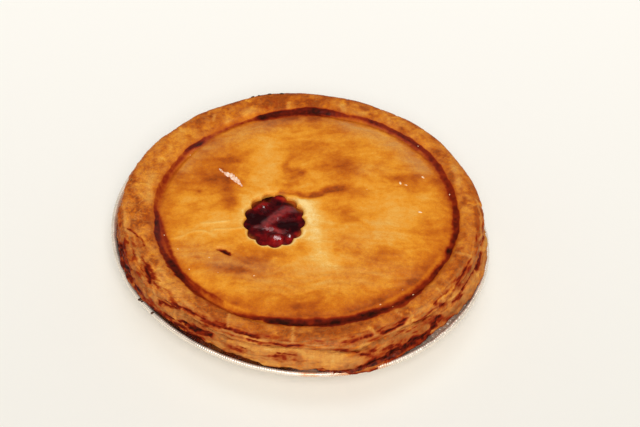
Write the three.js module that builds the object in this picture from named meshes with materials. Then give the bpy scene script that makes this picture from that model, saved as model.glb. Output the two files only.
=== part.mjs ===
// A cherry pie in its crimped foil pan: a thick double crust with a ring pressed round the lid, and a
// fluted vent, off centre, that shows the cherry filling. Millimetres, +Z up. The origin is the centre of
// the pan's flat base, X runs to the right of someone who looks at the pie, and Y runs away from them.
import * as THREE from "three";

const { degToRad, lerp, smoothstep } = THREE.MathUtils;
const TAU = 2 * Math.PI;

// Foil pan: a pressed dish with a rolled, crimped rim that has been squeezed a little oval
const FOIL_WALL = 0.5;
const BASE_RADIUS = 83;
const CORNER_RADIUS = 86;
const CORNER_HEIGHT = 1.8;
const WALL_TOP_RADIUS = 107;
const WALL_TOP_HEIGHT = 22.6;
const RIM_RADIUS = 115;
const RIM_HEIGHT = 23.6;
const BEAD_RADIUS = 1.6;
const FLANGE_RADIUS = 111.3;
const SQUEEZE = 0.045;
const LONG_AXIS = degToRad(-39);
const CRIMPS = 260;
const CRIMP_DEPTH = 0.35;

// Crust: the part in the pan, the side that stands above the rim, and the flat band round the lid
const PAN_GAP = 0.4;
const OVERHANG_HEIGHT = 24.9;
const LIP_HEIGHT = 26;
const SIDE_RADIUS = 109.3;
const FOLD_RADIUS = 108.7;
const FOLD_HEIGHT = 40;
const CREASE_DEPTH = 1.8;
const BAND_HEIGHT = 44.1;
const SHOULDER_RADIUS = 2.6;
const LID_HEIGHT = 44;
const LID_THICKNESS = 4.5;
const CRUST_FLOOR = 4.4;

// Where juice boiled over, the lowest crust spreads across the rim
const OVERFLOW_ANGLE = degToRad(-70);
const OVERFLOW_WIDTH = degToRad(14);
const OVERFLOW_REACH = 4.5;

// Ring pressed round the lid, where lid and bottom crust are sealed
const RING_CENTRE = new THREE.Vector2(4.2, -2.1);
const RING_RADIUS = 90.4;
const GROOVE_HALF_WIDTH = 2.5;
const GROOVE_DEPTH = 2.7;

// Vent: a fluted cutter's hole, stretched along Y in the oven
const VENT_CENTRE = new THREE.Vector2(-14.3, -12.7);
const VENT_RADIUS_X = 19.2;
const VENT_RADIUS_Y = 21.6;
const VENT_LOBES = 13;
const VENT_CUSP = 1.9;
const VENT_FIRST_LOBE = degToRad(-4);

// Filling: runs under the whole lid and shows in the vent
const FILLING_GAP = 0.4;
const FILLING_LEVEL = 40.9;
const CAVITY_RADIUS = 88;
const CAVITY_FLOOR_RADIUS = 77;
const CAVITY_SHOULDER = 82;

// Eight columns to each lobe of the vent, and five columns of rim to each of those
const COLUMNS = VENT_LOBES * 8;
const RIM_COLUMNS = CRIMPS * 2;

// Unevenness, as waves round the pie: number of waves, height in millimetres, phase in degrees
const SIDE_WAVES = [[2, 2.2, 78], [5, 0.5, 40], [9, 0.45, 200], [14, 0.35, 310]];
const FOLD_WAVES = [[2, 1.1, 50], [3, 0.5, 120], [7, 0.5, 15], [12, 0.45, 250], [19, 0.3, 90]];
const FOLD_HEIGHT_WAVES = [[3, 0.8, 60], [8, 0.5, 10], [13, 0.4, 140]];
const BAND_WAVES = [[2, 0.3, 0], [6, 0.25, 75], [11, 0.2, 200], [17, 0.15, 30]];
const RING_WAVES = [[3, 0.5, 20], [5, 0.35, 160], [11, 0.25, 80]];
const GROOVE_WAVES = [[4, 0.5, 110], [9, 0.4, 10], [15, 0.3, 260]];

// Swellings and hollows of the lid: place, spread and height in millimetres
const LID_SWELLS = [
  { x: 30, y: 28, spread: 16, height: 0.9 },
  { x: -46, y: 24, spread: 12, height: -0.7 },
  { x: -42, y: -38, spread: 14, height: -0.6 },
  { x: 48, y: -24, spread: 22, height: 0.8 },
  { x: 8, y: 52, spread: 18, height: 0.5 },
  { x: 12, y: -58, spread: 16, height: -0.5 },
];
const LID_DOME = 1.1;

// Cherries that swell under the jelly in the vent, placed from the vent's centre
const CHERRIES = [
  { x: -8, y: 9, spread: 6.5, height: 1.5 },
  { x: 5, y: -13, spread: 6, height: 1.3 },
  { x: 8, y: 6, spread: 7, height: 0.9 },
  { x: -9, y: -7, spread: 5, height: -0.9 },
];

function wave(angle, terms) {
  return terms.reduce(
    (sum, [count, height, phase]) => sum + height * Math.cos(count * angle + degToRad(phase)),
    0,
  );
}

function swell(x, y, places) {
  return places.reduce(
    (sum, p) => sum + p.height * Math.exp(-((x - p.x) ** 2 + (y - p.y) ** 2) / (2 * p.spread ** 2)),
    0,
  );
}

// Share by which the squeeze changes a radius of the pan: none at the base, all of it at the rim
function squeeze(angle, z) {
  return 1 + SQUEEZE * smoothstep(z, 0, RIM_HEIGHT) * Math.cos(2 * (angle - LONG_AXIS));
}

// One ring of points, anticlockwise from above, that starts at the vent's first lobe
function ring(columns, place) {
  return Array.from({ length: columns }, (_, j) => place(VENT_FIRST_LOBE + (TAU * j) / columns, j));
}

function roundRing(radius, z) {
  return ring(COLUMNS, (a) => new THREE.Vector3(radius * Math.cos(a), radius * Math.sin(a), z));
}

// A ring that keeps to the pan's squeezed wall
function panRing(radius, z) {
  return ring(COLUMNS, (a) => {
    const r = radius * squeeze(a, z);
    return new THREE.Vector3(r * Math.cos(a), r * Math.sin(a), z);
  });
}

function pole(z, centre = new THREE.Vector2()) {
  return [new THREE.Vector3(centre.x, centre.y, z)];
}

// Triangles between two neighbouring rings, whose sizes are equal or one a multiple of the other
function band(faces, lower, lowerSize, upper, upperSize) {
  const low = (i) => lower + (i % lowerSize);
  const high = (i) => upper + (i % upperSize);
  const coarse = Math.min(lowerSize, upperSize);
  const fine = Math.max(lowerSize, upperSize) / coarse;
  if (coarse === 1) {
    for (let i = 0; i < fine; i++) {
      faces.push(...(lowerSize === 1 ? [low(0), high(i + 1), high(i)] : [low(i), low(i + 1), high(0)]));
    }
    return;
  }
  for (let j = 0; j < coarse; j++) {
    const first = j * fine;
    const middle = first + Math.floor(fine / 2);
    for (let i = first; i < first + fine; i++) {
      const corner = i < middle ? j : j + 1;
      if (upperSize > lowerSize) faces.push(low(corner), high(i + 1), high(i));
      else if (lowerSize > upperSize) faces.push(low(i), low(i + 1), high(corner));
      else faces.push(low(j + 1), high(j + 1), high(j));
    }
    if (upperSize > lowerSize) faces.push(low(j), low(j + 1), high(middle));
    else if (lowerSize > upperSize) faces.push(low(middle), high(j + 1), high(j));
    else faces.push(low(j), low(j + 1), high(j));
  }
}

// Closed skin over a stack of rings, from the pole under the solid to the pole that ends it
function skin(rings) {
  const faces = [];
  let start = 0;
  for (let i = 0; i + 1 < rings.length; i++) {
    band(faces, start, rings[i].length, start + rings[i].length, rings[i + 1].length);
    start += rings[i].length;
  }
  const geometry = new THREE.BufferGeometry().setFromPoints(rings.flat());
  geometry.setIndex(faces);
  geometry.computeVertexNormals();
  return geometry;
}

// Foil pan

// A ring of the rim, pressed up and down by the crimps
function crimpedRing(radius, z) {
  return ring(RIM_COLUMNS, (a, j) => {
    const r = radius * squeeze(a, RIM_HEIGHT);
    const crimp = j % 2 ? -CRIMP_DEPTH : CRIMP_DEPTH;
    return new THREE.Vector3(r * Math.cos(a), r * Math.sin(a), z + crimp);
  });
}

function panGeometry() {
  const beadCentre = RIM_RADIUS - BEAD_RADIUS;
  return skin([
    pole(0),
    roundRing(BASE_RADIUS, 0),
    panRing(CORNER_RADIUS, CORNER_HEIGHT),
    panRing(WALL_TOP_RADIUS, WALL_TOP_HEIGHT),
    crimpedRing(FLANGE_RADIUS, RIM_HEIGHT - BEAD_RADIUS / 2),
    crimpedRing(RIM_RADIUS, RIM_HEIGHT),
    crimpedRing(beadCentre, RIM_HEIGHT + BEAD_RADIUS),
    crimpedRing(FLANGE_RADIUS, RIM_HEIGHT + FOIL_WALL),
    panRing(WALL_TOP_RADIUS - FOIL_WALL, WALL_TOP_HEIGHT + FOIL_WALL),
    panRing(CORNER_RADIUS - FOIL_WALL, CORNER_HEIGHT + FOIL_WALL),
    roundRing(BASE_RADIUS - FOIL_WALL, FOIL_WALL),
    pole(FOIL_WALL),
  ]);
}

// Crust

function angleBetween(a, b) {
  return Math.abs(THREE.MathUtils.euclideanModulo(a - b + Math.PI, TAU) - Math.PI);
}

// Radius of the crust's lowest edge, which spreads where juice boiled over
function lowEdge(angle) {
  const away = angleBetween(angle, OVERFLOW_ANGLE) / OVERFLOW_WIDTH;
  return SIDE_RADIUS + wave(angle, SIDE_WAVES) + OVERFLOW_REACH * Math.exp(-(away ** 2) / 2);
}

// Radius and height of the top crust's rolled edge
function foldEdge(angle) {
  const away = angleBetween(angle, OVERFLOW_ANGLE) / OVERFLOW_WIDTH;
  return FOLD_RADIUS + wave(angle, FOLD_WAVES) + (OVERFLOW_REACH / 2) * Math.exp(-(away ** 2) / 2);
}

function foldHeight(angle) {
  return FOLD_HEIGHT + wave(angle, FOLD_HEIGHT_WAVES);
}

// A ring of the crust's side, between its lowest edge at share 0 and its rolled edge at share 1
function sideRing(share, inset, height) {
  return ring(COLUMNS, (a) => {
    const r = lerp(lowEdge(a), foldEdge(a), share) - inset;
    const z = lerp(LIP_HEIGHT, foldHeight(a), height);
    return new THREE.Vector3(r * Math.cos(a), r * Math.sin(a), z);
  });
}

// A point on the pressed ring, a distance outside its middle line
function ringPoint(angle, outside) {
  const r = RING_RADIUS + wave(angle, RING_WAVES) + outside;
  return new THREE.Vector2(RING_CENTRE.x + r * Math.cos(angle), RING_CENTRE.y + r * Math.sin(angle));
}

function bandRing(share) {
  return ring(COLUMNS, (a) => {
    const outer = foldEdge(a) - SHOULDER_RADIUS;
    const inner = ringPoint(a, GROOVE_HALF_WIDTH + 1);
    const x = lerp(outer * Math.cos(a), inner.x, share);
    const y = lerp(outer * Math.sin(a), inner.y, share);
    return new THREE.Vector3(x, y, BAND_HEIGHT + wave(a, BAND_WAVES) - 0.8 * (1 - share) ** 2);
  });
}

function grooveRing(outside, depth) {
  return ring(COLUMNS, (a) => {
    const p = ringPoint(a, outside);
    return new THREE.Vector3(p.x, p.y, BAND_HEIGHT - depth * (GROOVE_DEPTH + wave(a, GROOVE_WAVES)));
  });
}

function lidHeight(x, y) {
  const share = Math.hypot(x - RING_CENTRE.x, y - RING_CENTRE.y) / RING_RADIUS;
  return LID_HEIGHT + LID_DOME * (0.5 - share ** 2) + swell(x, y, LID_SWELLS);
}

// Outline of the vent, drawn in or out by a margin
function ventPoint(angle, margin = 0) {
  const cusp = VENT_CUSP * (1 - Math.abs(Math.cos((VENT_LOBES / 2) * (angle - VENT_FIRST_LOBE))));
  return new THREE.Vector2(
    VENT_CENTRE.x + (VENT_RADIUS_X + margin - cusp) * Math.cos(angle),
    VENT_CENTRE.y + (VENT_RADIUS_Y + margin - cusp) * Math.sin(angle),
  );
}

// A ring of the lid, between the pressed ring at share 0 and the vent at share 1
function lidRing(share, drop = 0, margin = 0) {
  return ring(COLUMNS, (a) => {
    const p = ringPoint(a, -GROOVE_HALF_WIDTH).lerp(ventPoint(a, margin), share);
    return new THREE.Vector3(p.x, p.y, lidHeight(p.x, p.y) - drop);
  });
}

// The hollow that the filling fills, or the filling's own skin when it is drawn in by a gap
function cavityRings(gap) {
  const underLid = LID_THICKNESS + gap;
  return [
    lidRing(1, underLid, -gap),
    lidRing(0.6, underLid, -gap),
    ring(COLUMNS, (a) => {
      const p = ringPoint(a, CAVITY_SHOULDER - RING_RADIUS - gap);
      return new THREE.Vector3(p.x, p.y, LID_HEIGHT - LID_THICKNESS - 0.9 - gap);
    }),
    ring(COLUMNS, (a) => {
      const p = ringPoint(a, CAVITY_RADIUS - RING_RADIUS - gap);
      return new THREE.Vector3(p.x, p.y, LID_HEIGHT - 2.2 * LID_THICKNESS - gap);
    }),
    roundRing(CAVITY_RADIUS - gap, 0.8 * RIM_HEIGHT + gap),
    roundRing(CAVITY_FLOOR_RADIUS - gap, CRUST_FLOOR + 1 + gap),
    pole(CRUST_FLOOR + gap),
  ];
}

function crustGeometry() {
  const inPan = FOIL_WALL + PAN_GAP;
  return skin([
    pole(inPan),
    roundRing(BASE_RADIUS - inPan, inPan),
    panRing(CORNER_RADIUS - 2 * inPan, CORNER_HEIGHT + inPan),
    panRing(WALL_TOP_RADIUS - 2 * inPan, WALL_TOP_HEIGHT),
    panRing(WALL_TOP_RADIUS - 2 * inPan, OVERHANG_HEIGHT),
    sideRing(0, 1.2, 0),
    sideRing(0, 0, 0.1),
    sideRing(0.3, 0.5, 0.38),
    sideRing(0.7, 0.4, 0.68),
    sideRing(1, CREASE_DEPTH, 0.87),
    sideRing(1, 0, 1),
    sideRing(1, 0.5, 1.13),
    bandRing(0),
    bandRing(0.5),
    bandRing(1),
    grooveRing(GROOVE_HALF_WIDTH, 0.3),
    grooveRing(1, 1),
    grooveRing(-1, 1),
    lidRing(0, 0.7),
    lidRing(0.06),
    ...[0.22, 0.42, 0.62, 0.8, 0.92].map((share) => lidRing(share)),
    lidRing(1, 0.2, 0.8),
    lidRing(1, 1),
    ...cavityRings(0),
  ]);
}

// Filling

function fillingTop(share) {
  return ring(COLUMNS, (a) => {
    const p = ventPoint(a, -FILLING_GAP).lerp(VENT_CENTRE, 1 - share);
    const lump = swell(p.x - VENT_CENTRE.x, p.y - VENT_CENTRE.y, CHERRIES);
    return new THREE.Vector3(p.x, p.y, FILLING_LEVEL + lump * (1 - share ** 4));
  });
}

function fillingGeometry() {
  return skin([
    ...cavityRings(FILLING_GAP).reverse(),
    ...[1, 0.75, 0.42].map(fillingTop),
    pole(FILLING_LEVEL + swell(0, 0, CHERRIES), VENT_CENTRE),
  ]);
}

const foil = new THREE.MeshStandardMaterial({ color: 0xcfccc5, metalness: 1, roughness: 0.3 });
const pastry = new THREE.MeshStandardMaterial({ color: 0xcd8a35, metalness: 0, roughness: 0.45 });
const jelly = new THREE.MeshStandardMaterial({ color: 0x5c0a10, metalness: 0, roughness: 0.12 });

const pie = new THREE.Group();
for (const [name, geometry, material] of [
  ["foil_pan", panGeometry(), foil],
  ["crust", crustGeometry(), pastry],
  ["filling", fillingGeometry(), jelly],
]) {
  const mesh = new THREE.Mesh(geometry, material);
  mesh.name = name;
  pie.add(mesh);
}

export default pie;
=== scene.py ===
# %% [markdown]
# # A cherry pie in its foil pan
# The pie is a thick pastry case with a pressed ring round its lid, a fluted vent that shows the cherry
# filling, and a crimped foil pan. The frame holds these three solids at their real size, plain. Here each
# gets its fine shape and its finish. The frame stays fixed, and every new piece is made in its place.

# %% The fixed frame
import math

import bpy
import numpy as np
from mathutils import Matrix, Vector, noise


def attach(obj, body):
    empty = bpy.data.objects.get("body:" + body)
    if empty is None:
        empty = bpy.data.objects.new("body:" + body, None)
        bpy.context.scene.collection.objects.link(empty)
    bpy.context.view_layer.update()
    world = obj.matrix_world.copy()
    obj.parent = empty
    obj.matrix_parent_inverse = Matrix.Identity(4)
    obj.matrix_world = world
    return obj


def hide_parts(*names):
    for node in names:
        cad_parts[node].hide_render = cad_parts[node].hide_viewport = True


MM = 0.001
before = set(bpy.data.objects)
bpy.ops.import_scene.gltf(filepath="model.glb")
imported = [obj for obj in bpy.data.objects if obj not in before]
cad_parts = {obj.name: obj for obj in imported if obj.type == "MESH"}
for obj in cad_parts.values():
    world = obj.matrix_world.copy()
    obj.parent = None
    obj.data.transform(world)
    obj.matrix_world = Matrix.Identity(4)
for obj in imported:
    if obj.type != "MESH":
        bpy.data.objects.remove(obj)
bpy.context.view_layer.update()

# %% [markdown]
# ## Camera
# The camera looks down at the lid from about 45 degrees, as someone who stands at the table does. Its place
# comes from the foil rim and the pressed ring, which are both nearly circles and show how much they are
# foreshortened. It could be aimed with a constraint, but a plain matrix keeps the small roll too.

# %% Camera
AIM = Vector((12.5, -4.75, 44)) * MM
ELEVATION = math.radians(44.8)
ROLL = math.radians(1.06)
DISTANCE = 0.9
VIEW_ANGLE = math.radians(24.25)

bpy.ops.object.select_all(action="DESELECT")
bpy.ops.object.camera_add()
camera = bpy.context.object
tilt = Matrix.Rotation(math.pi / 2 - ELEVATION, 4, "X")
backwards = tilt @ Vector((0, 0, DISTANCE))
camera.matrix_world = Matrix.Translation(AIM + backwards) @ tilt @ Matrix.Rotation(ROLL, 4, "Z")
camera.data.angle = VIEW_ANGLE
camera.data.clip_start = 0.01
bpy.context.scene.camera = camera
print("camera at", [round(x, 3) for x in camera.location])

# %% [markdown]
# ## Tools for materials
# Every finish of the pie is a tree of shader nodes. It could be wired by hand in the Shader Editor. In code
# a few helpers do the same: most add a node or two, link what goes in and give back what comes out, so that
# a material reads like a recipe.

# %% Nodes and links
def srgb(red, green, blue):
    """A colour of 0 to 255, as an eye reads it from a screen, made linear for the renderer."""
    shares = [c / 255 for c in (red, green, blue)]
    return (*[s / 12.92 if s <= 0.04045 else ((s + 0.055) / 1.055) ** 2.4 for s in shares], 1.0)


def new_finish(name, settings):
    """A new material, its node tree and its shader, whose inputs get the values in settings."""
    material = bpy.data.materials.new(name)
    material.use_nodes = True
    shader = material.node_tree.nodes["Principled BSDF"]
    for socket, value in settings.items():
        shader.inputs[socket].default_value = value
    return material, material.node_tree, shader


def place_node(tree, kind, **settings):
    """Adds a node with its settings; those that name an input set that input's value."""
    node = tree.nodes.new(kind)
    for name, value in settings.items():
        if name in node.inputs:
            node.inputs[name].default_value = value
        else:
            setattr(node, name, value)
    return node


def feed(tree, socket, value):
    """Links an output to an input, or sets the input to a plain number or colour."""
    if isinstance(value, bpy.types.NodeSocket):
        tree.links.new(value, socket)
    else:
        socket.default_value = value


# %% Sums, steps and tones
def arithmetic(tree, operation, first, second):
    """A Math node whose two inputs are sockets or plain numbers."""
    node = place_node(tree, "ShaderNodeMath", operation=operation)
    feed(tree, node.inputs[0], first)
    feed(tree, node.inputs[1], second)
    return node.outputs[0]


def plus(tree, first, second):
    return arithmetic(tree, "ADD", first, second)


def times(tree, first, second):
    return arithmetic(tree, "MULTIPLY", first, second)


def soft_step(tree, value, low, high):
    """0 below low, 1 above high and smooth between; low may be the larger."""
    limits = {"From Min": low, "From Max": high}
    node = place_node(tree, "ShaderNodeMapRange", interpolation_type="SMOOTHSTEP", **limits)
    tree.links.new(value, node.inputs["Value"])
    return node.outputs["Result"]


def blended(tree, share, first, second):
    """A Mix node for colours, whose inputs are sockets or plain colours."""
    node = place_node(tree, "ShaderNodeMix", data_type="RGBA")
    for place, value in ((0, share), (6, first), (7, second)):
        feed(tree, node.inputs[place], value)
    return node.outputs[2]


def toned(tree, value, stops):
    """Colours from a Color Ramp with stops of (place, colour)."""
    node = tree.nodes.new("ShaderNodeValToRGB")
    elements = node.color_ramp.elements
    for place, _ in stops[2:]:
        elements.new(place)
    for element, (place, colour) in zip(elements, stops):
        element.position = place
        element.color = colour
    tree.links.new(value, node.inputs["Fac"])
    return node.outputs["Color"]


# %% Painted values, noise and relief
def painted_value(tree, name):
    """The number that was painted on the points under that name."""
    return place_node(tree, "ShaderNodeAttribute", attribute_name=name).outputs["Fac"]


def fixed_noise(tree, scale, detail, roughness=0.5):
    """A noise texture that is fixed to the piece, with that many waves to a metre."""
    where = tree.nodes.new("ShaderNodeTexCoord")
    texture = place_node(tree, "ShaderNodeTexNoise", Scale=scale, Detail=detail, Roughness=roughness)
    tree.links.new(where.outputs["Object"], texture.inputs["Vector"])
    return texture


def bumped(tree, shader, height, strength, depth):
    """Fine relief of that depth in millimetres, through a Bump node."""
    bump = place_node(tree, "ShaderNodeBump", Strength=strength, Distance=depth * MM)
    tree.links.new(height, bump.inputs["Height"])
    tree.links.new(bump.outputs["Normal"], shader.inputs["Normal"])


# %% [markdown]
# ## Light and floor
# The pie stands on a pale cream surface in soft studio light. A broad light comes from far in front, high
# up and a little from the right, so it reaches under the rim of the pan. A soft box overhead draws the
# bright line along the foil, and pale surroundings fill the rest. The floor's colour is painted a touch
# brighter at the back, as painted light that falls off towards the front.

# %% Floor
FLOOR_SIZE = 12
FLOOR_GAP = 0.2 * MM
# Painted light: the floor's colour runs from darker in front to brighter at the back.
NEAR_FLOOR_PAINTED_SHADE = srgb(242, 239, 231)
FAR_FLOOR_PAINTED_LIGHT = srgb(255, 252, 245)
FLOOR_LIGHT_RUN = {"From Min": -0.2, "From Max": 0.3}

bpy.ops.mesh.primitive_plane_add(size=FLOOR_SIZE, location=(0, 0, -FLOOR_GAP))
floor = bpy.context.object
floor.name = "floor"
paper, paper_tree, paper_shader = new_finish("pale_floor", {"Roughness": 0.9, "Specular IOR Level": 0.1})
paper_where = paper_tree.nodes.new("ShaderNodeTexCoord")
paper_axes = paper_tree.nodes.new("ShaderNodeSeparateXYZ")
paper_run = place_node(paper_tree, "ShaderNodeMapRange", **FLOOR_LIGHT_RUN)
paper_tree.links.new(paper_where.outputs["Object"], paper_axes.inputs["Vector"])
paper_tree.links.new(paper_axes.outputs["Y"], paper_run.inputs["Value"])
# The painted light on the floor, as a ramp of colour along its depth.
painted_floor_light = toned(paper_tree, paper_run.outputs["Result"], [(0, NEAR_FLOOR_PAINTED_SHADE), (1, FAR_FLOOR_PAINTED_LIGHT)])
paper_tree.links.new(painted_floor_light, paper_shader.inputs["Base Color"])
floor.data.materials.append(paper)
print("floor of", FLOOR_SIZE, "m")

# %% Lights
FRONT_FROM = Vector((0.05, -0.67, 0.74))
FRONT_SPREAD = math.radians(32)
FRONT_STRENGTH = 2.1
TOP_SIZE = 1.2
TOP_PLACE = Vector((0.15, 0.15, 2.2))
TOP_WATTS = 6.5
SURROUNDINGS = srgb(255, 253, 249)
SKY_STRENGTH = 0.39


def aimed_light(kind, name, place):
    """A light at a place, which shines towards the origin."""
    bpy.ops.object.light_add(type=kind, location=place)
    light = bpy.context.object
    light.name = name
    light.rotation_euler = (-place).to_track_quat("-Z", "Y").to_euler()
    return light.data


front_light = aimed_light("SUN", "front_light", FRONT_FROM)
front_light.angle = FRONT_SPREAD
front_light.energy = FRONT_STRENGTH
soft_box = aimed_light("AREA", "soft_box", TOP_PLACE)
soft_box.size = TOP_SIZE
soft_box.energy = TOP_WATTS

world = bpy.data.worlds.new("studio")
bpy.context.scene.world = world
world.use_nodes = True
sky = world.node_tree.nodes["Background"]
sky.inputs["Color"].default_value = SURROUNDINGS
sky.inputs["Strength"].default_value = SKY_STRENGTH
bpy.context.scene.view_settings.view_transform = "Standard"
print("front light, a soft box of", TOP_SIZE, "m and pale surroundings")

# %% [markdown]
# ## Turned rings
# The crusts, the filling and the pan are all round things, turned like pots. A lathe or the Screw modifier
# could turn them, but here a circle is extruded ring by ring along a profile, as by hand, which keeps the
# rings in order. A profile either ends in two points on the axis or runs round a hole and closes on itself.

# %% Turning helper
def named(piece, name):
    piece.name = name
    piece.data.name = name
    return piece


def turned(name, columns, profile, first_angle=0.0, round_a_hole=False):
    """Extrudes a circle along a profile of (radius, height) in millimetres and closes it."""
    bpy.ops.object.select_all(action="DESELECT")
    radius, height = profile[0]
    bpy.ops.mesh.primitive_circle_add(vertices=columns, radius=radius * MM, location=(0, 0, height * MM))
    piece = named(bpy.context.object, name)
    bpy.ops.object.transform_apply(location=True, rotation=True, scale=True)
    bpy.ops.object.mode_set(mode="EDIT")
    bpy.ops.mesh.select_all(action="SELECT")
    for (r0, z0), (r1, z1) in zip(profile, profile[1:]):
        rise = {"value": (0, 0, (z1 - z0) * MM)}
        bpy.ops.mesh.extrude_edges_move(TRANSFORM_OT_translate=rise)
        grow = r1 / r0
        bpy.ops.transform.resize(value=(grow, grow, 1), center_override=(0, 0, z1 * MM))
    if round_a_hole:
        bpy.ops.mesh.select_all(action="DESELECT")
        bpy.ops.mesh.select_non_manifold()
        bpy.ops.mesh.bridge_edge_loops()
    else:
        for _ in ("last ring", "first ring"):
            bpy.ops.mesh.extrude_edges_move()
            bpy.ops.mesh.merge(type="CENTER")
            bpy.ops.mesh.select_all(action="DESELECT")
            bpy.ops.mesh.select_non_manifold()
    bpy.ops.mesh.select_all(action="SELECT")
    bpy.ops.mesh.normals_make_consistent(inside=False)
    bpy.ops.object.mode_set(mode="OBJECT")
    piece.data.transform(Matrix.Rotation(first_angle, 4, "Z"))
    return piece


# %% Smoothing and placing
def shaded_smooth(piece):
    for polygon in piece.data.polygons:
        polygon.use_smooth = True
    print(piece.name, "has", len(piece.data.vertices), "points")


def smoothed(piece, levels):
    """Rounds and refines a piece with an applied Subdivision Surface."""
    refine = piece.modifiers.new("smooth", "SUBSURF")
    refine.levels = levels
    refine.render_levels = levels
    bpy.context.view_layer.objects.active = piece
    bpy.ops.object.modifier_apply(modifier=refine.name)
    shaded_smooth(piece)


def in_place(piece, node):
    """Lets a finished piece ride with the pie and stand for its CAD node, which is hidden."""
    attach(piece, "root")
    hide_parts(node)


# %% [markdown]
# ## Sculpting tools
# Food is uneven, so the turned pieces are sculpted: their points are moved by waves round the pie, by soft
# clouds of noise, and by strokes along given lines. It could be done with brushes in Sculpt Mode. In
# code each stroke keeps its place in millimetres, and the result is the same on every run.

# %% Points of a piece
def read_points(piece):
    """All points of a piece, in millimetres."""
    flat = np.empty(len(piece.data.vertices) * 3, np.float32)
    piece.data.vertices.foreach_get("co", flat)
    return flat.reshape(-1, 3).astype(float) / MM


def write_points(piece, points):
    piece.data.vertices.foreach_set("co", (points * MM).astype(np.float32).ravel())
    piece.data.update()


def raise_skin(piece, lift):
    """Moves each point along its normal, in millimetres."""
    flat = np.empty(len(piece.data.vertices) * 3, np.float32)
    piece.data.vertices.foreach_get("normal", flat)
    write_points(piece, read_points(piece) + flat.reshape(-1, 3) * lift[:, None])


def paint(piece, name, values):
    """Stores one number for each point, which the materials read by its name."""
    layer = piece.data.attributes.new(name, "FLOAT", "POINT")
    layer.data.foreach_set("value", np.clip(values, 0, 1).astype(np.float32))
    print(piece.name, name, "from", values.min().round(2), "to", values.max().round(2))


# %% Waves, clouds and strokes
def ease(low, high, values):
    """0 before low, 1 past high and smooth between; low may be the larger."""
    share = np.clip((values - low) / (high - low), 0, 1)
    return share * share * (3 - 2 * share)


def mixed(a, b, share):
    return a + (b - a) * share


def bell(values, centre, half_width):
    return np.exp(-(((values - centre) / half_width) ** 2))


def wave(angle, terms):
    """Waves round the pie: number of waves, height in millimetres, phase in degrees."""
    return sum(height * np.cos(count * angle + math.radians(phase)) for count, height, phase in terms)


def arc(angle, centre, half_width):
    """A soft bump round the pie at an angle, both in degrees."""
    return bell((np.degrees(angle) - centre + 180) % 360 - 180, 0, half_width)


def arcs(angle, marks):
    """The sum of bumps round the pie, each (height, centre, half width)."""
    return sum(height * arc(angle, centre, half_width) for height, centre, half_width in marks)


def clouds(points, size, seed, octaves=3):
    """Soft noise of about -1 to 1, with clouds of that size in millimetres, which may differ by axis."""
    places = points / np.array(size, float) + 7.31 * seed
    return np.array([noise.fractal(Vector(p), 1.0, 2.0, octaves) for p in places])


def stroke(plan, width, path):
    """A soft brush stroke of that half width along a path, on points seen from above, in millimetres."""
    nearest = np.full(len(plan), np.inf)
    ends = path[1:] if len(path) > 1 else path
    for a, b in zip(path, ends):
        a = np.array(a, float)
        along = np.array(b, float) - a
        share = np.clip((plan - a) @ along / max(along @ along, 1e-9), 0, 1)
        nearest = np.minimum(nearest, np.sum((plan - a - share[:, None] * along) ** 2, 1))
    return np.exp(-nearest / width**2)


def strokes(plan, marks):
    """The sum of strokes, each (strength, half width, path)."""
    return sum(strength * stroke(plan, width, path) for strength, width, path in marks)


def strongest(plan, marks, spread=1.0):
    """At each point only the strongest of the strokes, so that ends that meet don't add up."""
    return np.max([strength * stroke(plan, width * spread, path) for strength, width, path in marks], axis=0)


def as_seen(points):
    """Where points show on the lid's level, drawn along straight lines to the camera's place."""
    eye = np.array(camera.location) / MM
    share = (eye[2] - LID_LEVEL) / (eye[2] - points[:, 2])
    return eye[:2] + (points[:, :2] - eye[:2]) * share[:, None]


# %% [markdown]
# ## How the pie settled
# The baker set the lid a little off centre and put the vent cutter down to one side, the rim of the pan was
# squeezed, and the edge sagged where juice boiled over. One function moves any plain turned point to where
# it really is, so crusts and filling settle together and no gap opens between them.

# %% Plan of the pie
LOBES = 13
FIRST_LOBE = math.radians(-4)
RING_RADIUS = 90.4
VENT_RADIUS = 20.4
LID_LEVEL = 44
RIM_HEIGHT = 23.6
SQUEEZE = 0.045
LONG_AXIS = math.radians(-39)
DENT = (0.011, -36, 20)
RING_CENTRE = np.array([4.2, -1.2])
VENT_CENTRE = np.array([-14.9, -11])
VENT_STRETCH = np.array([18.5, 22.8]) - VENT_RADIUS
SCALLOP = 1.9
OVERFLOW = (-70, 14)
SIDE_WAVES = [(2, 2.2, 78), (5, 0.5, 40), (9, 0.45, 200), (14, 0.35, 310)]
SIDE_BUMPS = [
    (5.6, *OVERFLOW),
    (1.8, -91, 9),
    (4.6, -8, 17),
    (2.6, -32, 8),
    (1.4, -46, 9),
    (1.4, -99, 3),
    (2.3, -158, 20),
    (1.2, -164, 7),
    (-0.3, 178, 16),
]
FOLD_WAVES = [(2, 1.1, 50), (3, 0.5, 120), (7, 0.3, 15), (12, 0.25, 250), (19, 0.2, 90)]
FOLD_BUMPS = [(3, -74, 9), (-1.2, -56, 7), (-2.4, -127, 12), (2.1, -2, 22), (1.4, 27, 10), (0.9, 80, 60)]
FOLD_HEIGHT_WAVES = [(3, 0.8, 60), (8, 0.5, 10), (13, 0.4, 140)]
FOLD_HEIGHT_BUMPS = [(-3, -71, 5), (-3.2, -44, 13), (-1.5, -128, 14)]
BAND_WAVES = [(2, 0.3, 0), (6, 0.25, 75), (11, 0.2, 200), (17, 0.15, 30)]
RING_WAVES = [(3, 0.5, 20), (5, 0.35, 160), (11, 0.25, 80)]
GROOVE_WAVES = [(4, 0.5, 110), (9, 0.4, 10), (15, 0.3, 260)]
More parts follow.
